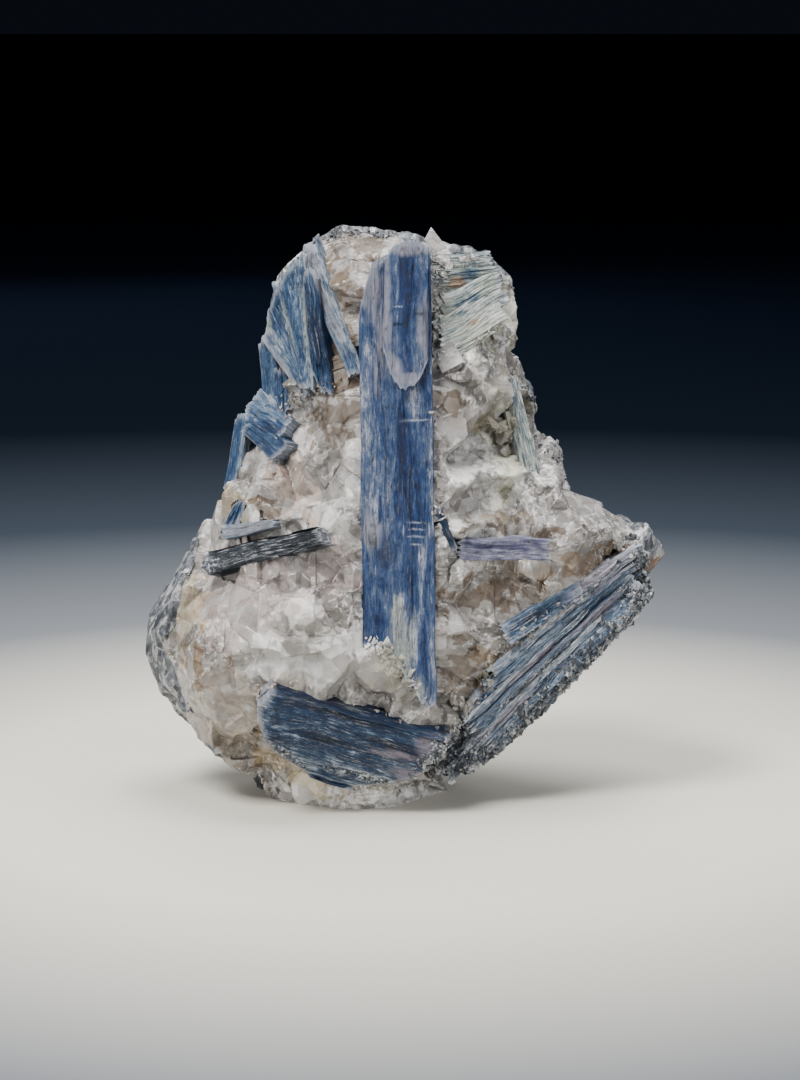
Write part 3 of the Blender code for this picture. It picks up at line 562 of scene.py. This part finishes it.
crystal("left_edge_blade", [
    blade((-23.9, -2.9, 74), (-24.6, -2.2, 84.6), 3.8, 5, facing=(-0.6, -0.8, 0)),
    blade((-21.4, -6.4, 72.2), (-22, -4.4, 80), 2.2, 5, facing=(-0.3, -1, 0), tone=0.15),
], blue_finish, "blue_kyanite")
crystal("left_rim_blade", [
    blade((-31.5, -3.2, 57.6), (-29.2, 0.5, 71.6), 3.6, 5.5, tip_width=3.2, facing=(-0.7, -0.7, 0),
          ragged=0.5, tone=0.05, tip_cut=(0.9, 1)),
    blade((-30.4, -4.6, 58.2), (-28.8, -2, 68), 1.3, 4, tip_width=0.8, facing=(-0.5, -0.8, 0), ragged=0.8,
          plate=0.7, tone=-0.3),
], blue_finish, "blue_kyanite")
crystal("left_shoulder_blades", [
    blade((-21.6, -11, 65.4), (-28.6, -3.1, 70), 4.4, 4.5, tip_width=3.6, facing=(-0.5, -0.8, 0.2),
          ragged=0.25, tone=0.15, foot_cut=(0.12, 0, 0), tip_cut=(1, 0.95, 0.85)),
    blade((-21.1, -9.2, 69.6), (-28.3, -1.5, 73), 4.6, 5.5, facing=(-0.5, -0.7, 0.5), ragged=0.25, tone=0,
          tip_cut=(0.85, 1, 0.95)),
    blade((-22.6, -5.4, 72), (-25.6, -1.6, 75.8), 3.6, 4.5, facing=(-0.5, -0.7, 0.5), ragged=0.4,
          tone=-0.15),
    blade((-23.4, -10, 64), (-28.4, -3.6, 68.2), 0.9, 3, facing=(-0.5, -0.8, -0.1), ragged=0.8, plate=0.6,
          tone=-0.35),
], blue_finish, "blue_kyanite", deep=[(-23.4, 69.5, 2.6, 1.2)])
crystal("left_pale_blades", [
    blade((-32.5, -11, 50.8), (-22.6, -18.2, 53.6), 2.5, 3, tip_width=1.2, facing=(-0.3, -0.9, 0.25),
          rise=0.2, plate=1, tone=-0.3),
    blade((-31.6, -10.9, 50.4), (-29, -10, 56.4), 3.4, 3, tip_width=1.8, facing=(-0.4, -0.9, 0.2),
          plate=1, tone=0.05),
], blue_finish, "blue_kyanite", frost=[(-27, 52.5, 7, 1.4, 15), (-28, 55, 0.8, 3, -20)])

# The bundle along the lower right edge: many thin blades grown side by side, grey-blue with white
# layers between, and above them one slanting blade that turns from blue to pinkish lavender.
bundle_finish = kyanite("bundle_kyanite", [
    (0, (0.52, 0.55, 0.59)), (0.32, (0.175, 0.225, 0.295)), (0.55, (0.052, 0.092, 0.155)),
    (0.8, (0.013, 0.032, 0.072)), (1, (0.003, 0.008, 0.022)),
], flecks=1, contrast=1.2, streaks=0.7, crusted=(0.3, 0.25, 0.29))
BUNDLE_FACING = (0.25, -0.9, -0.3)
THIN_LATHS = (  # foot, tip, tone
    ((17, -16.9, 25.6), (39, -12.5, 44.3), -0.25), ((16.2, -17, 23), (42, -12, 43.8), 0.1),
    ((12.6, -16.9, 17), (33, -13.6, 35.4), -0.15), ((14, -16.9, 15.4), (40.4, -12.3, 40), 0),
    ((12.4, -16.5, 11.4), (36, -12.9, 34.2), -0.3), ((16.5, -15.6, 12), (44.6, -10.8, 39.4), -0.1),
    ((18, -14.9, 11.6), (37, -11.6, 30.4), 0.12), ((22, -13.6, 14.6), (44.4, -8.9, 36.4), -0.25),
)
crystal("lower_right_bundle", [
    blade((9.6, -16, 10), (44, -10.3, 42.6), 11, 9, facing=BUNDLE_FACING, rise=0.9,
          foot_cut=(0.22, 0.14, 0.08, 0.03, 0), tip_cut=(0.9, 0.96, 1, 1, 0.97), ragged=2, plate=1,
          profile=(-0.4, 0.3, 0, 0.3, -0.2), silk=0.14),
    blade((11, -6, 4.5), (45.6, -2.5, 36.9), 19, 9, facing=(0.68, -0.12, -0.72), rise=1.2, ragged=2,
          plate=1.3, silk=0.18),
    blade((16, -12.7, 9.6), (42, -8.3, 35.2), 9, 8, facing=(0.5, -0.6, -0.6), rise=1, ragged=2, plate=1,
          silk=0.16),
    *(blade(foot, tip, 1.6, 3, tip_width=1, facing=BUNDLE_FACING, ragged=1.6, plate=0.5, seed=seed,
            tone=tone, bend=0.5)
      for seed, (foot, tip, tone) in enumerate(THIN_LATHS, start=40)),
    blade((19, -17.4, 32.9), (33.2, -14.2, 41), 3.8, 5, tip_width=3, rise=0.15, ragged=0.5, plate=1.4,
          tone=0.1, facing=(0.15, -0.95, 0.1)),
    blade((32.2, -14.1, 40.6), (44, -10.8, 47.4), 2.8, 5, tip_width=1.4, rise=0.15,
          facing=(0.2, -0.9, 0.1), plate=0.8, tone=-0.15, ragged=1.2),
    blade((33, -13.6, 38.4), (45.2, -9.8, 45.6), 2.2, 5, tip_width=1.6, ragged=1.4, facing=(0.3, -0.9, 0),
          plate=0.6, tone=-0.2),
], bundle_finish, "blue_kyanite", deep=[(25, 36.2, 6, 1.4, 30)],
    frost=[(37, 43.6, 8, 2.6, 32), (24, 27, 8, 0.9, 40), (36, 36, 8, 0.8, 40), (19, 17, 8, 1, 42)],
    pale=[(30, 35, 10, 1.2, 40), (40, 44, 6, 2, 32)],
    crust=[(27, 17.5, 24, 3, 41), (44, 38, 4, 6, 30), (12, 11, 5, 4, 40), (25, 25, 12, 0.8, 41),
           (34, 40, 9, 0.7, 38)])

# The pale blades: a lavender one right of the middle, a green-white felt of fibres at the upper
# right with a rusty spot in it, and thin grey-green layers on the right edge.
lavender_finish = kyanite("pale_kyanite", [
    (0, (0.4, 0.39, 0.44)), (0.35, (0.2, 0.2, 0.27)), (0.6, (0.085, 0.085, 0.15)),
    (0.85, (0.025, 0.028, 0.07)), (1, NAVY),
], flecks=0.3, contrast=0.9)
crystal("right_small_blade", [
    blade((10.6, -18.1, 48.9), (27, -16.6, 48.3), 3.7, 3.5, rise=0.2, ragged=0.7, plate=0.9),
], lavender_finish, "pale_kyanite", deep=[(17, 49.2, 6, 0.45, -2), (12, 50, 1.5, 0.8)])
green_finish = kyanite("green_white_kyanite", [
    (0, (0.64, 0.64, 0.58)), (0.28, (0.44, 0.46, 0.42)), (0.52, (0.2, 0.24, 0.24)),
    (0.75, (0.05, 0.095, 0.135)), (1, (0.01, 0.026, 0.05)),
], flecks=0.7, contrast=1.3)
# What the felted fibres share, and those that lie in waves.
FELT = dict(depth=3, facing=(0.45, -0.85, 0.3), ragged=0.7, plate=0.6, silk=0.2)
WAVY_FELT = dict(FELT, ragged=0.5, silk=0.14, rise=0.2)
crystal("upper_right_spray", [
    dict(FELT, foot=(5.6, -4.6, 99.4), tip=(16.6, -1.8, 99.8), width=3.4, facing=(0.4, -0.8, 0.5),
         profile=(-0.4, 0.2, 0, -0.3)),
    dict(FELT, foot=(6.4, -7.6, 96.2), tip=(18, -3.6, 97.2), width=4.2, tip_width=3, tone=0.12,
         profile=(-0.3, 0.2, 0, -0.3)),
    dict(WAVY_FELT, foot=(6.8, -9, 92), tip=(18.4, -4.6, 95.8), width=4.2, tip_width=3, plate=1.1,
         bend=1.2, profile=(-0.3, 0.2, 0, -0.3)),
    dict(WAVY_FELT, foot=(7.2, -11.2, 87.4), tip=(19.2, -5.4, 93.9), width=4.4, tip_width=3.8, depth=3.4,
         plate=0.9, bend=0.7, tone=-0.05),
    dict(WAVY_FELT, foot=(8, -12.4, 84.6), tip=(19, -6.4, 90.8), width=3.4, tip_width=3.4, depth=3.4,
         plate=1, silk=0.12, bend=0.7, tone=-0.18),
    dict(FELT, foot=(8.4, -12.7, 83.2), tip=(16.6, -9.6, 87.4), width=2.4, tip_width=1.2,
         facing=(0.4, -0.9, 0.1), silk=0.18, tone=-0.3),
], green_finish, "pale_kyanite", deep=[(11, 97.5, 4, 0.9, 5), (12, 93, 5, 0.8, 15), (10, 90, 3, 0.6, 25)],
    cream=[(14, 88, 4, 1.5, 25), (8, 92, 2, 6), (9, 98.5, 3, 2), (16, 96, 2, 3)],
    stain=[(8.2, 99, 2, 1.2)], rust=[(10.2, 96, 1.5, 1.1), (13.2, 89, 1.1, 0.5, 30)])
crystal("right_edge_blade", [
    blade((24.9, -10, 61.9), (20.8, -7, 78.6), 2.4, 3, tip_width=1.6, facing=(0.6, -0.75, 0), plate=0.6,
          ragged=1, tone=-0.05),
], green_finish, "pale_kyanite")

# Three stout blue blades in the back. They lie along the schist, which has grown round them, and
# each stands a little proud of it.
for number, sizes in enumerate((
    blade((-23, 24, 15), (-9.5, 24.5, 47), 9, 5, facing=(-0.1, 1, 0.1)),
    blade((21, 20.5, 28), (8.5, 22.8, 58), 7, 5, facing=(0.1, 1, 0.05), plate=1.6),
    blade((-10, 19.6, 72), (9, 11, 92), 5, 4.5, facing=(0, 1, 0.25), plate=1.3),
), start=1):
    crystal(f"back_blade_{number}", [sizes], blue_finish, "blue_kyanite")


# The quartz: one lump of milky and smoky vein quartz, broken by hammer into glassy faces with
# sharp pale edges. It closes round every crystal.
def facets(points, size, seed, tilt=0.35, steep=0.35):
    """Broken faces about size across.

    Each is one side of a block turned at random, and the highest block shows, so that faces meet in
    crisp edges with no walls between. Gives the relief, a number for each face, how near a ridge
    and how near a groove.
    """
    scaled = points / size
    home = np.floor(scaled).astype(np.int64)
    best = np.full(len(points), -9.0)
    second, shade, ridge = best.copy(), np.zeros(len(points)), np.zeros(len(points))
    for offset in product((-1, 0, 1), repeat=3):
        cell = home + offset
        away = scaled - cell - np.column_stack([hashed(cell, seed + k) for k in range(3)])
        turn, tip = hashed(cell, seed + 3) * math.pi, hashed(cell, seed + 4) * math.pi
        x = away[:, 0] * np.cos(turn) + away[:, 1] * np.sin(turn)
        y = away[:, 1] * np.cos(turn) - away[:, 0] * np.sin(turn)
        z = away[:, 2] * np.cos(tip) + y * np.sin(tip)
        y = y * np.cos(tip) - away[:, 2] * np.sin(tip)
        sides = np.column_stack([0.7 * x, -0.9 * x, y, -0.8 * y, 1.1 * z, -0.7 * z])
        ordered = np.sort(sides, axis=1)
        level = 0.5 * hashed(cell, seed + 5) - steep * ordered[:, -1]
        level += tilt * (x * (hashed(cell, seed + 6) - 0.5) + y * (hashed(cell, seed + 7) - 0.5))
        higher = level > best
        second = np.where(higher, best, np.maximum(second, level))
        number = (hashed(cell, seed + 8) + 0.37 * np.argmax(sides, axis=1)) % 1
        shade = np.where(higher, number, shade)
        ridge = np.where(higher, ordered[:, -1] - ordered[:, -2], ridge)
        best = np.maximum(best, level)
    return (best - best.mean()) * size, shade, ridge * size, (best - second) * size


def evaluated(source):
    """The mesh of an object with its modifiers applied; the object is removed."""
    bpy.context.view_layer.update()
    mesh = bpy.data.meshes.new_from_object(source.evaluated_get(bpy.context.evaluated_depsgraph_get()))
    bpy.data.objects.remove(source)
    return mesh


def points_of(mesh):
    """A mesh's points, in millimetres."""
    points = np.empty(len(mesh.vertices) * 3)
    mesh.vertices.foreach_get("co", points)
    return points.reshape(-1, 3) / MM


def even_faces(node, voxel):
    """A copy of a CAD node's mesh in even small faces, with its points and their normals."""
    shaped = linked(f"{node}_fine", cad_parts[node].data.copy())
    remesh = shaped.modifiers.new("even", "REMESH")
    remesh.mode = "VOXEL"
    remesh.voxel_size = voxel * MM
    mesh = evaluated(shaped)
    normals = np.empty(len(mesh.vertices) * 3, dtype=np.float32)
    mesh.vertices.foreach_get("normal", normals)
    return mesh, points_of(mesh), normals.reshape(-1, 3).astype(float)


def thinned(mesh, triangles):
    """The mesh with its flat stretches in fewer faces."""
    mesh.calc_loop_triangles()
    if len(mesh.loop_triangles) <= triangles:
        return mesh
    dense = linked("dense", mesh)
    fewer = dense.modifiers.new("fewer", "DECIMATE")
    fewer.ratio = triangles / len(mesh.loop_triangles)
    return evaluated(dense)


def tree_of(solids):
    """A search tree over the faces of solids given as points and faces, in millimetres."""
    points, faces = [], []
    for solid_points, solid_faces in solids:
        faces += [[corner + len(points) for corner in face] for face in solid_faces]
        points += solid_points.tolist()
    return BVHTree.FromPolygons(points, faces)


def solid_of(mesh):
    return points_of(mesh), [list(polygon.vertices) for polygon in mesh.polygons]


def distance(points, tree, reach):
    """How far each point is from a tree's faces, or reach where it is further."""
    found = (tree.find_nearest(p, reach)[3] for p in points.tolist())
    return np.array([reach if far is None else far for far in found])


def pull(points, tree, reach, past):
    """How far and which way each point near a tree's faces moves, to end a little past them."""
    moves = np.zeros_like(points)
    for k, point in enumerate(points.tolist()):
        nearest, _, _, far = tree.find_nearest(point, reach)
        if far:
            moves[k] = (np.array(nearest) - point) * (1 + past / far) * min(1, 2 - 2 * far / reach)
    return moves


def exposed(points, other_rock):
    """1 where a point of the rock is open to the air, 0 where it touches other rock or a crystal."""
    from_rock, from_crystal = distance(points, other_rock, NEAR), distance(points, crystal_tree, NEAR)
    return np.clip((from_rock - 0.6) / 0.5, 0, 1) * np.clip((from_crystal - 0.3) / 0.8, 0, 1)


def raised(points, normals, relief):
    """The points with their relief, which dies out towards the foot, so that it stands flat."""
    above_ground = np.clip(points[:, 2] / 1.5, 0, 1)
    return points + normals * (relief * above_ground)[:, None]


def chip(seed):
    """A small angular solid about 1 across: the hull of a few points."""
    spots = np.random.default_rng(seed).normal(0, 1, (9, 3))
    bm = bmesh.new()
    for spot in spots / np.linalg.norm(spots, axis=1)[:, None]:
        bm.verts.new(spot / 2)
    bmesh.ops.convex_hull(bm, input=bm.verts)
    bm.verts.index_update()
    points = np.array([vert.co for vert in bm.verts])
    faces = [[vert.index for vert in face.verts] for face in bm.faces]
    bm.free()
    return points, faces


CHIPS = [chip(seed) for seed in range(12)]


def strewn(tree, path, wide, count, size, seed, sunk=0.1):
    """Broken chips, strewn along a path of (x, height) over the face that the tree shows."""
    rng = np.random.default_rng(seed)
    path = np.array(path, float)
    walk = np.concatenate([[0], np.cumsum(np.hypot(*np.diff(path, axis=0).T))])
    bits = []
    for number in range(count):
        at = rng.uniform(0, walk[-1])
        x, z = (np.interp(at, walk, path[:, k]) + rng.normal(0, wide / 2) for k in (0, 1))
        hit = tree.ray_cast((x, -80, z), (0, 1, 0))[0]
        turn = np.array(Euler(rng.uniform(0, 6, 3)).to_matrix())
        wide_by, share = size * rng.uniform(0.4, 1.3), (1, rng.uniform(0.5, 1), rng.uniform(0.4, 0.9))
        points, faces = CHIPS[number % len(CHIPS)]
        if hit:
            bits.append((points * share * wide_by @ turn + np.array(hit) + (0, sunk * wide_by, 0), faces))
    return bits


def add_bits(mesh, bits, seed):
    """Adds separate bits to a mesh. Each gets its own number for every kept value."""
    rng = np.random.default_rng(seed)
    bm = bmesh.new()
    bm.from_mesh(mesh)
    for points, faces in bits:
        made = [bm.verts.new(p) for p in (points * MM).tolist()]
        for face in faces:
            bm.faces.new([made[corner] for corner in face])
        for layer in bm.verts.layers.float.values():
            number = rng.random()
            for vert in made:
                vert[layer] = number
    bm.to_mesh(mesh)
    bm.free()


QUARTZ_VOXEL = 0.28
QUARTZ_TRIANGLES = 185000
NEAR = 1.6
# Broad smooth faces among the crumbly ones: x, height, half width, half height, turn.
SMOOTH = [(-17.5, 67.5, 4.5, 4.5), (-11.5, 71, 5, 6, 30), (-20, 59.5, 6, 5), (-31, 17, 10, 10, 30),
          (-27, 41, 8, 5), (-10.8, 97, 4, 6), (-10.3, 85, 3, 7), (15, 39, 6, 4), (34, 46, 7, 3),
          (11, 27, 4, 5), (12, 64, 3.5, 3), (-10, 28, 8, 5), (-19, 27, 6, 5), (-12, 52, 5, 4),
          (10, 70, 4, 5), (-32, 54, 4, 5)]
SHOULDER, SHOULDER_CUT = (23.5, 87, 2.8, 5), 1.7  # where the right shoulder lies back, and how far
# Broken chips: the path they lie along, how wide, how many, how big, a seed and how far they are sunk.
QUARTZ_CHIPS = [
    ([(-5.8, 33.5), (-2.4, 30), (0.6, 27), (3.8, 23.5)], 1.8, 90, 2.6, 1, 0.2),
    ([(14, 20), (16, 25), (19, 30), (23, 33), (33, 39)], 1.6, 90, 1.3, 2),
    ([(-27, 24), (-20, 25.5), (-10, 22.5), (2, 18)], 1, 40, 1.4, 3),
    ([(-20, 75), (-15, 76.5), (-10, 78)], 1, 24, 1.3, 4, 0.2),
    ([(9.4, 21.4), (12.4, 19)], 0.9, 40, 2.6, 9, -0.2),
    ([(6.8, 75), (7.2, 60), (7.4, 50), (7.6, 35)], 1.2, 70, 1.4, 5),
    ([(-30, 4.5), (-20, 2.5), (-8, 2), (4, 3)], 2, 60, 1.8, 6),
    ([(34, 43), (40, 48), (45, 47)], 1.6, 60, 1.1, 7),
    ([(-22, 72), (-19, 75), (-17, 76)], 1.6, 30, 1.5, 8),
    ([(6.6, 81), (6.7, 88), (6.6, 95)], 0.9, 50, 1.7, 10, 0.1),
    ([(7.6, 84.4), (10.4, 80.4)], 2.4, 14, 2.4, 11, 0.15),
    ([(18.6, 66), (19.2, 71)], 1.6, 16, 4.2, 13, -0.2),
    ([(17.5, 88), (19.5, 84), (21.5, 80)], 1.8, 24, 1.8, 14, 0.1),
]
# Two small quartz crystals: the point at the top, and a square one right of the main blade.
POINT = (
    np.array([(2.7, -1.7, 100.2), (10.1, -2.4, 100), (9.3, 4, 100.4), (3.1, 4, 100.4), (5.7, 0.6, 105.5)]),
    [(0, 1, 4), (1, 2, 4), (2, 3, 4), (3, 0, 4), (3, 2, 1, 0)],
)
SQUARE_TURN = np.array(Euler((0.35, 0.45, 0.3)).to_matrix())
SQUARE = (
    np.array(list(product((-2.1, 2.1), (-1.4, 1.4), (-2.1, 2.1)))) @ SQUARE_TURN + (8.9, -11.7, 82.8),
    [(0, 1, 3, 2), (4, 6, 7, 5), (0, 4, 5, 1), (2, 3, 7, 6), (0, 2, 6, 4), (1, 5, 7, 3)],
)
crystal_tree = tree_of(grown)
mesh, points, normals = even_faces("quartz_matrix", QUARTZ_VOXEL)
open_face = exposed(points, tree_of([solid_of(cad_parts["schist_rind"].data)]))
big, big_shade, big_ridge, big_groove = facets(points, 8.5, 10)
middle, middle_shade, middle_ridge, middle_groove = facets(points, 3.8, 20)
fine, fine_shade, fine_ridge, fine_groove = facets(points, 1.6, 30, steep=0.5)
sugary = np.clip(0.3 + 2.4 * clouded(points, 0.1, 9), 0, 1)
blocky = np.clip(0.6 + 2 * clouded(points, 0.09, 5), 0.15, 1)
smooth = patches(points, clouded(points, 0.3), SMOOTH)
relief = 0.9 * big + (1 - 0.75 * smooth) * (blocky * middle + 0.7 * sugary * fine)
sideways = np.clip(1.4 * np.hypot(normals[:, 0], normals[:, 2]) - 0.4, 0, 1)
relief -= 0.85 * sideways * np.clip(relief - 0.2, 0, None)
relief -= SHOULDER_CUT * patch(points, 0, *SHOULDER)
points = raised(points, normals, relief * open_face)
points += pull(points, crystal_tree, 2, 0.35)
mesh.vertices.foreach_set("co", (points * MM).ravel())
crumbly = np.maximum(sugary, 0.1)
ridge = np.minimum(np.minimum(big_ridge, middle_ridge / blocky), fine_ridge / crumbly)
groove = np.minimum(np.minimum(big_groove, middle_groove / blocky), fine_groove / crumbly)
keep(mesh, grain=big_shade, middle=middle_shade, chip=fine_shade, ridge=ridge, groove=groove, sugar=sugary,
     smooth=smooth)
mesh = thinned(mesh, QUARTZ_TRIANGLES)
shown = tree_of([*grown, solid_of(mesh)])
add_bits(mesh, [bit for row in QUARTZ_CHIPS for bit in strewn(shown, *row)] + [POINT, SQUARE], 1)
points = points_of(mesh)
wobble = clouded(points, 0.45) + 0.5 * clouded(points, 1.3, 4)
# Stains and inclusions of the quartz, and painted bounce light at the foot, where they lie on its face: x,
# height, half width, half height, turn.
for name, spots in {
    "smoky": [(-9, 104, 9, 5), (-10.8, 95.5, 4, 5), (-10.5, 83, 4, 9), (-11.5, 71.5, 5.5, 4.5, 30),
              (9, 74.8, 4.5, 2.4), (18, 53, 6, 2, -5), (28, 51.5, 6, 2), (16, 40, 8, 4),
              (10.5, 26.5, 3.5, 6), (13, 22.5, 3, 2), (-24.5, 55.5, 3, 2)],
    "amber": [(14.5, 29, 3.4, 2.4, -30), (34.5, 46, 7, 2.6, 10), (-36.5, 27, 1.2, 6)],
    "tan": [(-30, 15, 11, 9, 30), (-33.5, 22, 6, 8), (-22, 24, 4, 3), (20, 43, 9, 6), (-19.5, 60, 5, 5),
            (-10.5, 89, 5, 12), (12, 71.5, 4, 3)],
    "cream": [(-39, 36, 3.5, 9, -8), (-31.5, 56, 4, 3, 30), (-29.5, 52.5, 3, 2), (-20, 8, 10, 4, -30)],
    "rosy": [(-26, 42, 9, 7), (-32, 35, 5, 7), (-13, 45, 6, 6), (-20, 60, 5, 5)],
    "milky": [(-23, 31.5, 5, 4), (-17.5, 39, 4, 4), (-13, 53, 7, 5), (-18, 67.5, 4.5, 4), (12, 64, 6, 5),
              # The last two milky spots, at the foot, are painted light: whitish crumbs brightened as if
              # lit by light bounced up from the floor.
              (19, 59, 7, 6), (-9, 34, 6, 5), (10, 83, 3.5, 3), (-16, 3, 14, 3), (-4, 2, 8, 2)],
    "greenish": [(-0.9, 28, 5.5, 5), (21, 66, 3, 12, -15), (18, 72, 4, 8), (15.5, 90, 8, 8),
                 (-17, 101, 6, 4), (16, 26, 2, 3)],
}.items():
    keep(mesh, **{name: patches(points, wobble, spots)})
sharp_shaded(mesh, 14)
quartz = linked("quartz", mesh)
mesh.materials.clear()
stone = Finish("vein_quartz", IOR=1.54, Coat_Weight=0.25, Coat_Roughness=0.08, Subsurface_Weight=0.05,
               Subsurface_Radius=(1, 0.85, 0.7), Subsurface_Scale=0.0008)
here = stone.place()
coarse, fine, tiny = stone.cells(here, 175), stone.cells(here, 430), stone.cells(here, 1050)
sugar = stone["sugar"]
patchy = stone.cloud(here, 700, 5, 0.7)
calm = 1 - stone["smooth"] * 0.8
# Each small block of the stone has its own tone, under milky clouds that at the foot are painted bounce
# light, pale broken edges with a painted highlight on the ridges, and painted shade in the grooves.
tone = stone["grain"] * 0.15 + stone["middle"] * 0.2 + coarse * 0.4 + fine * 0.25
tone = (tone - 0.5 + (tiny - 0.5) * (sugar * 0.3 + 0.1)) * calm + 0.5
tone = tone + (stone.cloud(here, 60) - 0.5) * 0.6 + (patchy - 0.5) * 0.12
body = tone.ramp(
    (0.22, (0.1, 0.09, 0.082)), (0.42, (0.2, 0.184, 0.172)), (0.6, (0.3, 0.284, 0.27)),
    (0.85, (0.52, 0.505, 0.485)),
)
milky = (stone["milky"] + (coarse - 0.5) * 0.9).between(0.3, 0.65)
body = body.mixed((0.68, 0.665, 0.645), milky * (fine * 0.4 + 0.4))
# Pale broken edges and a painted highlight: ridges and the seams between blocks are lightened, partly their
# own pale colour, partly light through the thin edges.
rim = (1 - stone["ridge"].between(0, 0.14)) * patchy.between(0.44, 0.56)
seam = (1 - stone.seams(here, 175).between(0.006, 0.03)) * patchy.between(0.48, 0.55)
seam += (1 - stone.seams(here, 430).between(0.01, 0.05)) * patchy.between(0.52, 0.57) * sugar
body = body.mixed((0.74, 0.73, 0.72), ((rim * 0.7 + seam * 0.5) * calm).clamped())
# Painted shade: the grooves between the faces are darkened.
painted_groove_shade = (1 - stone["groove"].between(0, 0.12)) * patchy.between(0.36, 0.5)
body = body.mixed((0.07, 0.06, 0.05), painted_groove_shade * 0.6)
veil = stone.cloud(here.scaled(1, 1, 2), 900, 6, 0.75).between(0.58, 0.63)
body = body.mixed((0.68, 0.67, 0.66), veil * (sugar * 0.6 + 0.05) * calm)
for name, tint in (
    ("rosy", (0.96, 0.86, 0.85)), ("tan", (0.9, 0.83, 0.75)), ("cream", (1, 0.9, 0.7)),
    ("amber", (0.66, 0.52, 0.38)), ("smoky", (0.47, 0.4, 0.34)), ("greenish", (0.93, 0.94, 0.8)),
):
    stain = (stone[name] + (coarse - 0.5) * 0.7 + (fine - 0.5) * 0.3).between(0.4, 0.55)
    body = body.mixed(tint, stain, "MULTIPLY")
# Each small face leans its own way, so that some catch the light.
normal = stone.node("ShaderNodeNewGeometry", {}, {}, output=1)
for cells, lean in ((coarse, calm * 0.35 + 0.15), (fine, calm * 0.4), (tiny, (sugar * 0.6 + 0.1) * calm)):
    aside = cells.vector("SUBTRACT", (0.5, 0.5, 0.5))
    aside = stone.node("ShaderNodeVectorMath", {"operation": "SCALE"}, {0: aside, 3: lean})
    normal = normal.vector("ADD", aside)
normal = normal.vector("NORMALIZE")
stone.feed(stone.shader, {
    "Base Color": body,
    "Roughness": 0.08 + stone["chip"] * 0.12 + fine * 0.35,
    "Normal": stone.bump(patchy - seam * 0.6, 0.35, 0.0004, Normal=normal),
})
mesh.materials.append(stone.material)
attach(quartz, "root")
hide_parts("quartz_matrix")

# The schist: a rind of dark mica schist on the back and edges of the quartz, in thin crinkled
# layers that break in ledges, speckled with white quartz and glittering flakes.
SCHIST_VOXEL = 0.4
SCHIST_TRIANGLES = 140000
FOLIATION = np.array([math.cos(math.radians(58)), 0, math.sin(math.radians(58))])
UNDER_BUNDLE = [(6, 8), (11, 7), (20, 12), (28, 20.5), (36, 28.5), (44, 35.5)]
SCHIST_CHIPS = [  # as for the quartz
    (UNDER_BUNDLE, 3, 700, 2.2, 11, 0.2),
    (UNDER_BUNDLE, 2.6, 700, 0.9, 16, 0),
    ([(44, 36), (46, 40), (45.5, 45), (43, 47)], 2.8, 300, 1.5, 12, 0),
    ([(3, 8), (8, 12), (12, 15)], 2.4, 260, 1.1, 13, 0),
    ([(-40, 17), (-44.5, 25), (-46, 33), (-44, 42), (-39.5, 48)], 1.8, 330, 1.2, 14),
    ([(-15, 103.4), (-8, 104.5), (-1, 104.2)], 0.8, 120, 1.7, 15, 0.25),
    ([(22.5, 78), (26, 73), (28, 66), (32, 59)], 1.6, 160, 1.2, 17),
]
RUST = (48, 43, 2.6, 2.4)
mesh, points, normals = even_faces("schist_rind", SCHIST_VOXEL)
quartz_tree = tree_of([solid_of(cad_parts["quartz_matrix"].data)])
drawn = points - 0.75 * (points @ FOLIATION)[:, None] * FOLIATION
ledges, ledge_shade, *_ = facets(drawn, 2.8, 50)
flakes, flake_shade, *_ = facets(drawn, 1, 70)
# The crest at the top stands a little higher, as far as the pointed crystal.
crest = 0.6 * np.clip((points[:, 2] - 101) / 2, 0, 1) * np.clip((2.5 - points[:, 0]) / 2, 0, 1)
points = raised(points, normals, (ledges + 1.1 * flakes + crest) * exposed(points, quartz_tree))
points += pull(points, crystal_tree, 1.3, 0.35)
points += pull(points, quartz_tree, 1.2, 0.5)
mesh.vertices.foreach_set("co", (points * MM).ravel())
keep(mesh, ledge=ledge_shade, flake=flake_shade)
mesh = thinned(mesh, SCHIST_TRIANGLES)
add_bits(mesh, [bit for row in SCHIST_CHIPS for bit in strewn(shown, *row)], 2)
points = points_of(mesh)
keep(mesh, rust=patch(points, 0.5 * clouded(points, 0.6), *RUST))
sharp_shaded(mesh, 22)
schist = linked("schist", mesh)
mesh.materials.clear()
mica = Finish("mica_schist", IOR=1.55)
here = mica.place()
# Drawn out along the layers of the schist.
along_layers = {"Vector": here, "Rotation": (0, math.radians(32), 0), "Scale": (1, 1, 0.35)}
here = mica.node("ShaderNodeMapping", {}, along_layers)
grit = mica.cells(here, 1500)
flaky = mica["ledge"] * 0.2 + mica["flake"] * 0.3
body = (flaky + mica.cloud(here, 500, 5, 0.65) * 0.4 + grit * 0.4).ramp(
    (0.37, (0.006, 0.008, 0.011)), (0.57, (0.027, 0.032, 0.04)), (0.77, (0.12, 0.13, 0.145)),
    (0.95, (0.34, 0.34, 0.34)),
)
body = body.mixed((0.42, 0.405, 0.38), mica.cloud(here, 480, 6, 0.75).between(0.55, 0.61) * 0.65)
body = body.mixed((0.03, 0.05, 0.09), mica.cloud(here, 170).between(0.58, 0.66) * 0.5)
rusty = mica.cloud(here, 120).between(0.64, 0.72) * 0.5 + mica["rust"]
body = body.mixed((0.12, 0.055, 0.025), rusty.clamped())
glint = mica["flake"].between(0.8, 0.86)
body = body.mixed((0.42, 0.43, 0.44), glint * 0.6)
mica.feed(mica.shader, {
    "Base Color": body,
    "Roughness": 0.62 - glint * 0.35,
    "Metallic": glint * 0.35,
    "Normal": mica.bump(mica.cloud(here.scaled(1, 1, 2.5), 1400, 4), 0.6, 0.0005),
})
mesh.materials.append(mica.material)
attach(schist, "root")
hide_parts("schist_rind")
